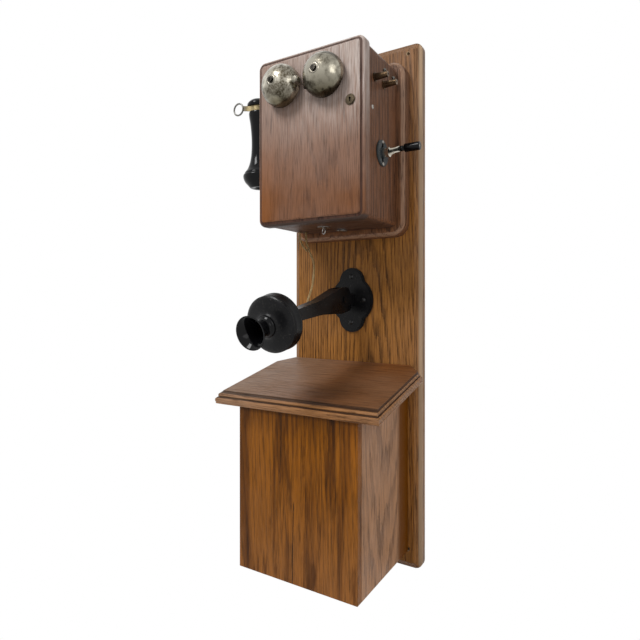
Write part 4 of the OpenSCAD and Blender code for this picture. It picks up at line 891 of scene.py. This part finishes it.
def shelf_corners():
    """The shelf's outline at its widest, seen square on, with its rear at the wall."""
    half, front = SHELF_WIDE / 2, (SHELF_OUT + BOARD_THICK) / math.cos(SLOPE)
    length = math.hypot(CUT_DEEP, CUT_WIDE)
    nx, ny = CUT_DEEP / length, CUT_WIDE / length
    reach = nx * half + ny * -(BOARD_THICK + CUT_DEEP - CUT_BACK)
    right = [(half, -front), (half, (reach - nx * half) / ny), (reach / nx, 0)]
    return [(x - SHELF_LEFT, y) for x, y in right + [(-x, y) for x, y in right[::-1]]]


# Along the sides the moulding draws in less, past its first 3 mm.
SIDE_FULL = 3
SIDE_SHARE = 0.344


def shelf_inset(normal, inwards):
    """The moulding runs full along the front, closer along the sides, not at the rear."""
    if abs(normal.x) < 0.1:
        return inwards if normal.y > 0 else 0
    return inwards if inwards < SIDE_FULL else SIDE_FULL + (inwards - SIDE_FULL) * SIDE_SHARE


bm = bmesh.new()
middle = bm.faces.new([
    bm.verts.new(Vector((x, y, -SHELF_CREST)) * MM) for x, y in shelf_corners()])
middle.normal_update()
if middle.normal.z < 0:
    middle.normal_flip()
under = bmesh.ops.duplicate(bm, geom=[middle])["geom"]
under = [g for g in under if isinstance(g, bmesh.types.BMFace)][0]
under.normal_flip()
moulded(bm, middle, [
    (0, 0), (0.1, 2), (0.4, 3.2), (1, 4.2), (1.8, 4.9), (2.6, 5.25), (5.2, 5.6), (5.6, 6.2),
    (5.5, 6.9), (5.2, 7.6), (5.3, 8.4), (5.7, 9.2), (6.3, 9.9), (7.2, 10.4), (8.6, 10.8),
    (11, 11.2), (14.4, 12), (14.6, 12.5), (15.5, SHELF_CREST)],
    groove=(*range(1, 6), *range(9, 15)), drawn_in=shelf_inset)
moulded(bm, under, [
    (0, 0), (0.3, 1.4), (0.9, 2.2), (0.35, 2.9), (0.3, 3.6), (0.5, 4.5), (1.2, 5.4), (3, 6)],
    groove=range(1, 7), drawn_in=shelf_inset)
bmesh.ops.remove_doubles(bm, verts=bm.verts, dist=1e-6)
STEP_AREA = 0.002  # in square metres, more than any step of the moulding has
# The small steps left on the top's finish take the dark quirk finish, a painted shade in the
# moulding's recesses.
for f in bm.faces:
    if f.material_index == 0 and f.calc_area() < STEP_AREA:
        f.material_index = 2
bmesh.ops.rotate(bm, verts=bm.verts, matrix=Matrix.Rotation(SLOPE, 3, "X"))
rise = foot(SHELF_TOP + BOARD_THICK * math.tan(SLOPE))
bmesh.ops.translate(bm, verts=bm.verts, vec=(0, 0, rise))
rear = bmesh.ops.bisect_plane(
    bm, geom=bm.verts[:] + bm.edges[:] + bm.faces[:], plane_co=(0, SHELF_REAR * MM, 0),
    plane_no=(0, 1, 0), clear_outer=True)["geom_cut"]
bmesh.ops.edgeloop_fill(bm, edges=[g for g in rear if isinstance(g, bmesh.types.BMEdge)])
shelf = shown("writing_shelf", mesh_of(bm, "writing_shelf"), "shelf",
              [shelf_oak, shelf_moulding, shelf_quirk], ("shelf_lid",))
HINGE_LONG = 42
HINGE_PIN = (-24.8, -105.9)
bm = bmesh.new()
for x in (-70, 70):
    turned(bm, [(0, 0), (2.8, 0), (2.8, HINGE_LONG), (0, HINGE_LONG)], 32,
           seat((x - HINGE_LONG / 2, *HINGE_PIN), "X"))
cut(shelf, bm, "hinge_housings")


# Battery box
#
# Four plain oak boards glued and nailed below the shelf. The front is the
# showiest: amber, with a dark flame of growth rings and a dried crack.
battery_front_oak = oak("amber_oak_front", (0.27, 0.088, 0.004), (0.045, 0.021, 0.006),
                        (0.30, 0.125, 0.040), pith=(-0.02, -0.19, 0.0), lean=0.09,
                        spacing=0.009, bite=0.55, pores=0.4, gloss=0.36,
                        tint_span=("Z", -0.28, -0.44), seed=3.3)
# Dark flames, broad and fine, and amber ones between them.
for scale, low, high, share, tint in (
        (26, 0.50, 0.62, 0.85, (0.40, 0.36, 0.36)), (60, 0.54, 0.62, 0.75, (0.36, 0.32, 0.30)),
        (12, 0.52, 0.66, 0.65, (1.35, 1.25, 0.8))):
    flame = clouds(battery_front_oak, on_object(
        battery_front_oak, (1, 1, 0.09), (scale * 0.1, 0, 0.4)), scale, 5, 0.6, 0.5)
    tinted(battery_front_oak, between(battery_front_oak, flame, low, high, 0.0, share),
           tint, "MULTIPLY")
# The shelf's shadow is painted on, darker just under the shelf.
tinted(battery_front_oak, spread(battery_front_oak, "Z", -0.205, -0.168, 0.0, 0.75),
       (0.45, 0.42, 0.40), "MULTIPLY")


def hairline(finish, upper, lower, wide):
    """A mask along a thin wavering line on a front, from one (x, z) to another."""
    lean = (lower[0] - upper[0]) / (lower[1] - upper[1])
    start = lean * upper[1] - upper[0]
    place = node(finish, "ShaderNodeSeparateXYZ", {"Vector": on_object(finish)}).outputs
    waver = between(finish, clouds(finish, on_object(finish), 60, 2), 0.3, 0.7,
                    start - 0.0007, start + 0.0007)
    off = times(finish, times(finish, place["Z"], -lean), waver, "ADD")
    off = times(finish, times(finish, place["X"], off, "ADD"), 0.0, "ABSOLUTE")
    ends = times(finish, between(finish, place["Z"], upper[1] + 0.003, upper[1] - 0.003),
                 between(finish, place["Z"], lower[1] - 0.003, lower[1] + 0.003))
    return times(finish, between(finish, off, wide, wide * 0.4), ends)


CRACK = ((-0.0020, -0.300), (-0.0039, -0.430), 0.0011)
JOINT_LINE = ((-0.0239, -0.166), (-0.0278, -0.275), 0.0010)
for thin_line, share in ((CRACK, 0.95), (JOINT_LINE, 0.8)):
    tinted(battery_front_oak, times(battery_front_oak, hairline(
        battery_front_oak, *thin_line), share), (0.012, 0.007, 0.004))
battery_side_oak = oak("pinkish_oak_side", (0.47, 0.235, 0.112), (0.145, 0.066, 0.028),
                       (0.40, 0.245, 0.165), pith=(0.4, -0.1, 0.0), lean=0.06,
                       spacing=0.0042, bite=0.9, pores=0.65, gloss=0.38,
                       tint_span=("Z", -0.4, -0.1), seed=5.1, wander=0.014)
# The rear of each side board is darker and more orange.
tinted(battery_side_oak, spread(battery_side_oak, "Y", -0.070, -0.056), (0.165, 0.050, 0.001))
battery_floor_oak = oak("battery_floor_oak", (0.19, 0.09, 0.04), (0.08, 0.04, 0.02),
                        (0.22, 0.14, 0.10), along="X", spacing=0.006, seed=8.8)
softened("battery_front", battery_front_oak, 0.8)
for board in ("battery_side_left", "battery_side_right"):
    softened(board, battery_side_oak, 0.6)
softened("battery_bottom", battery_floor_oak, 0.6)
paper = new_finish("cell_paper", (0.30, 0.24, 0.16), 0.8)
coloured(paper, blended(paper, clouds(paper, on_object(paper), 40, 4), (0.36, 0.29, 0.19),
                        (0.20, 0.15, 0.10)),
         bump=clouds(paper, on_object(paper), 300, 3), height=0.0003)
softened("dry_cells", paper, 0)
softened("cell_terminals", brass, 0)


# Works inside
#
# What fills the ringer box: the generator with its horseshoe magnets, the
# induction coil, and the ringer on the inside of the door.
enamel = black_japan("magnet_enamel", (0.055, 0.012, 0.010), (0.16, 0.15, 0.14),
                     (0.66, 0.74), (0.30, 0.48))
wrap = new_finish("green_silk_wrap", (0.06, 0.09, 0.055), 0.75)
wire_turns = node(wrap, "ShaderNodeTexWave", {
    "Vector": on_object(wrap), "Scale": 320.0, "Distortion": 0.8},
    bands_direction="X").outputs["Fac"]
coloured(wrap, blended(wrap, wire_turns, (0.035, 0.055, 0.03), (0.085, 0.12, 0.07)),
         bump=wire_turns, height=0.0003)
softened("generator_frame", brass, 0.3)
softened("generator_magnets", enamel, 0.4)
softened("generator_armature", plain_steel, 0)
softened("induction_coil", wrap, 0)
softened("ringer_frame", japan, 0.3)
softened("ringer_coils", wrap, 0)
softened("ringer_magnet", enamel, 0.3)
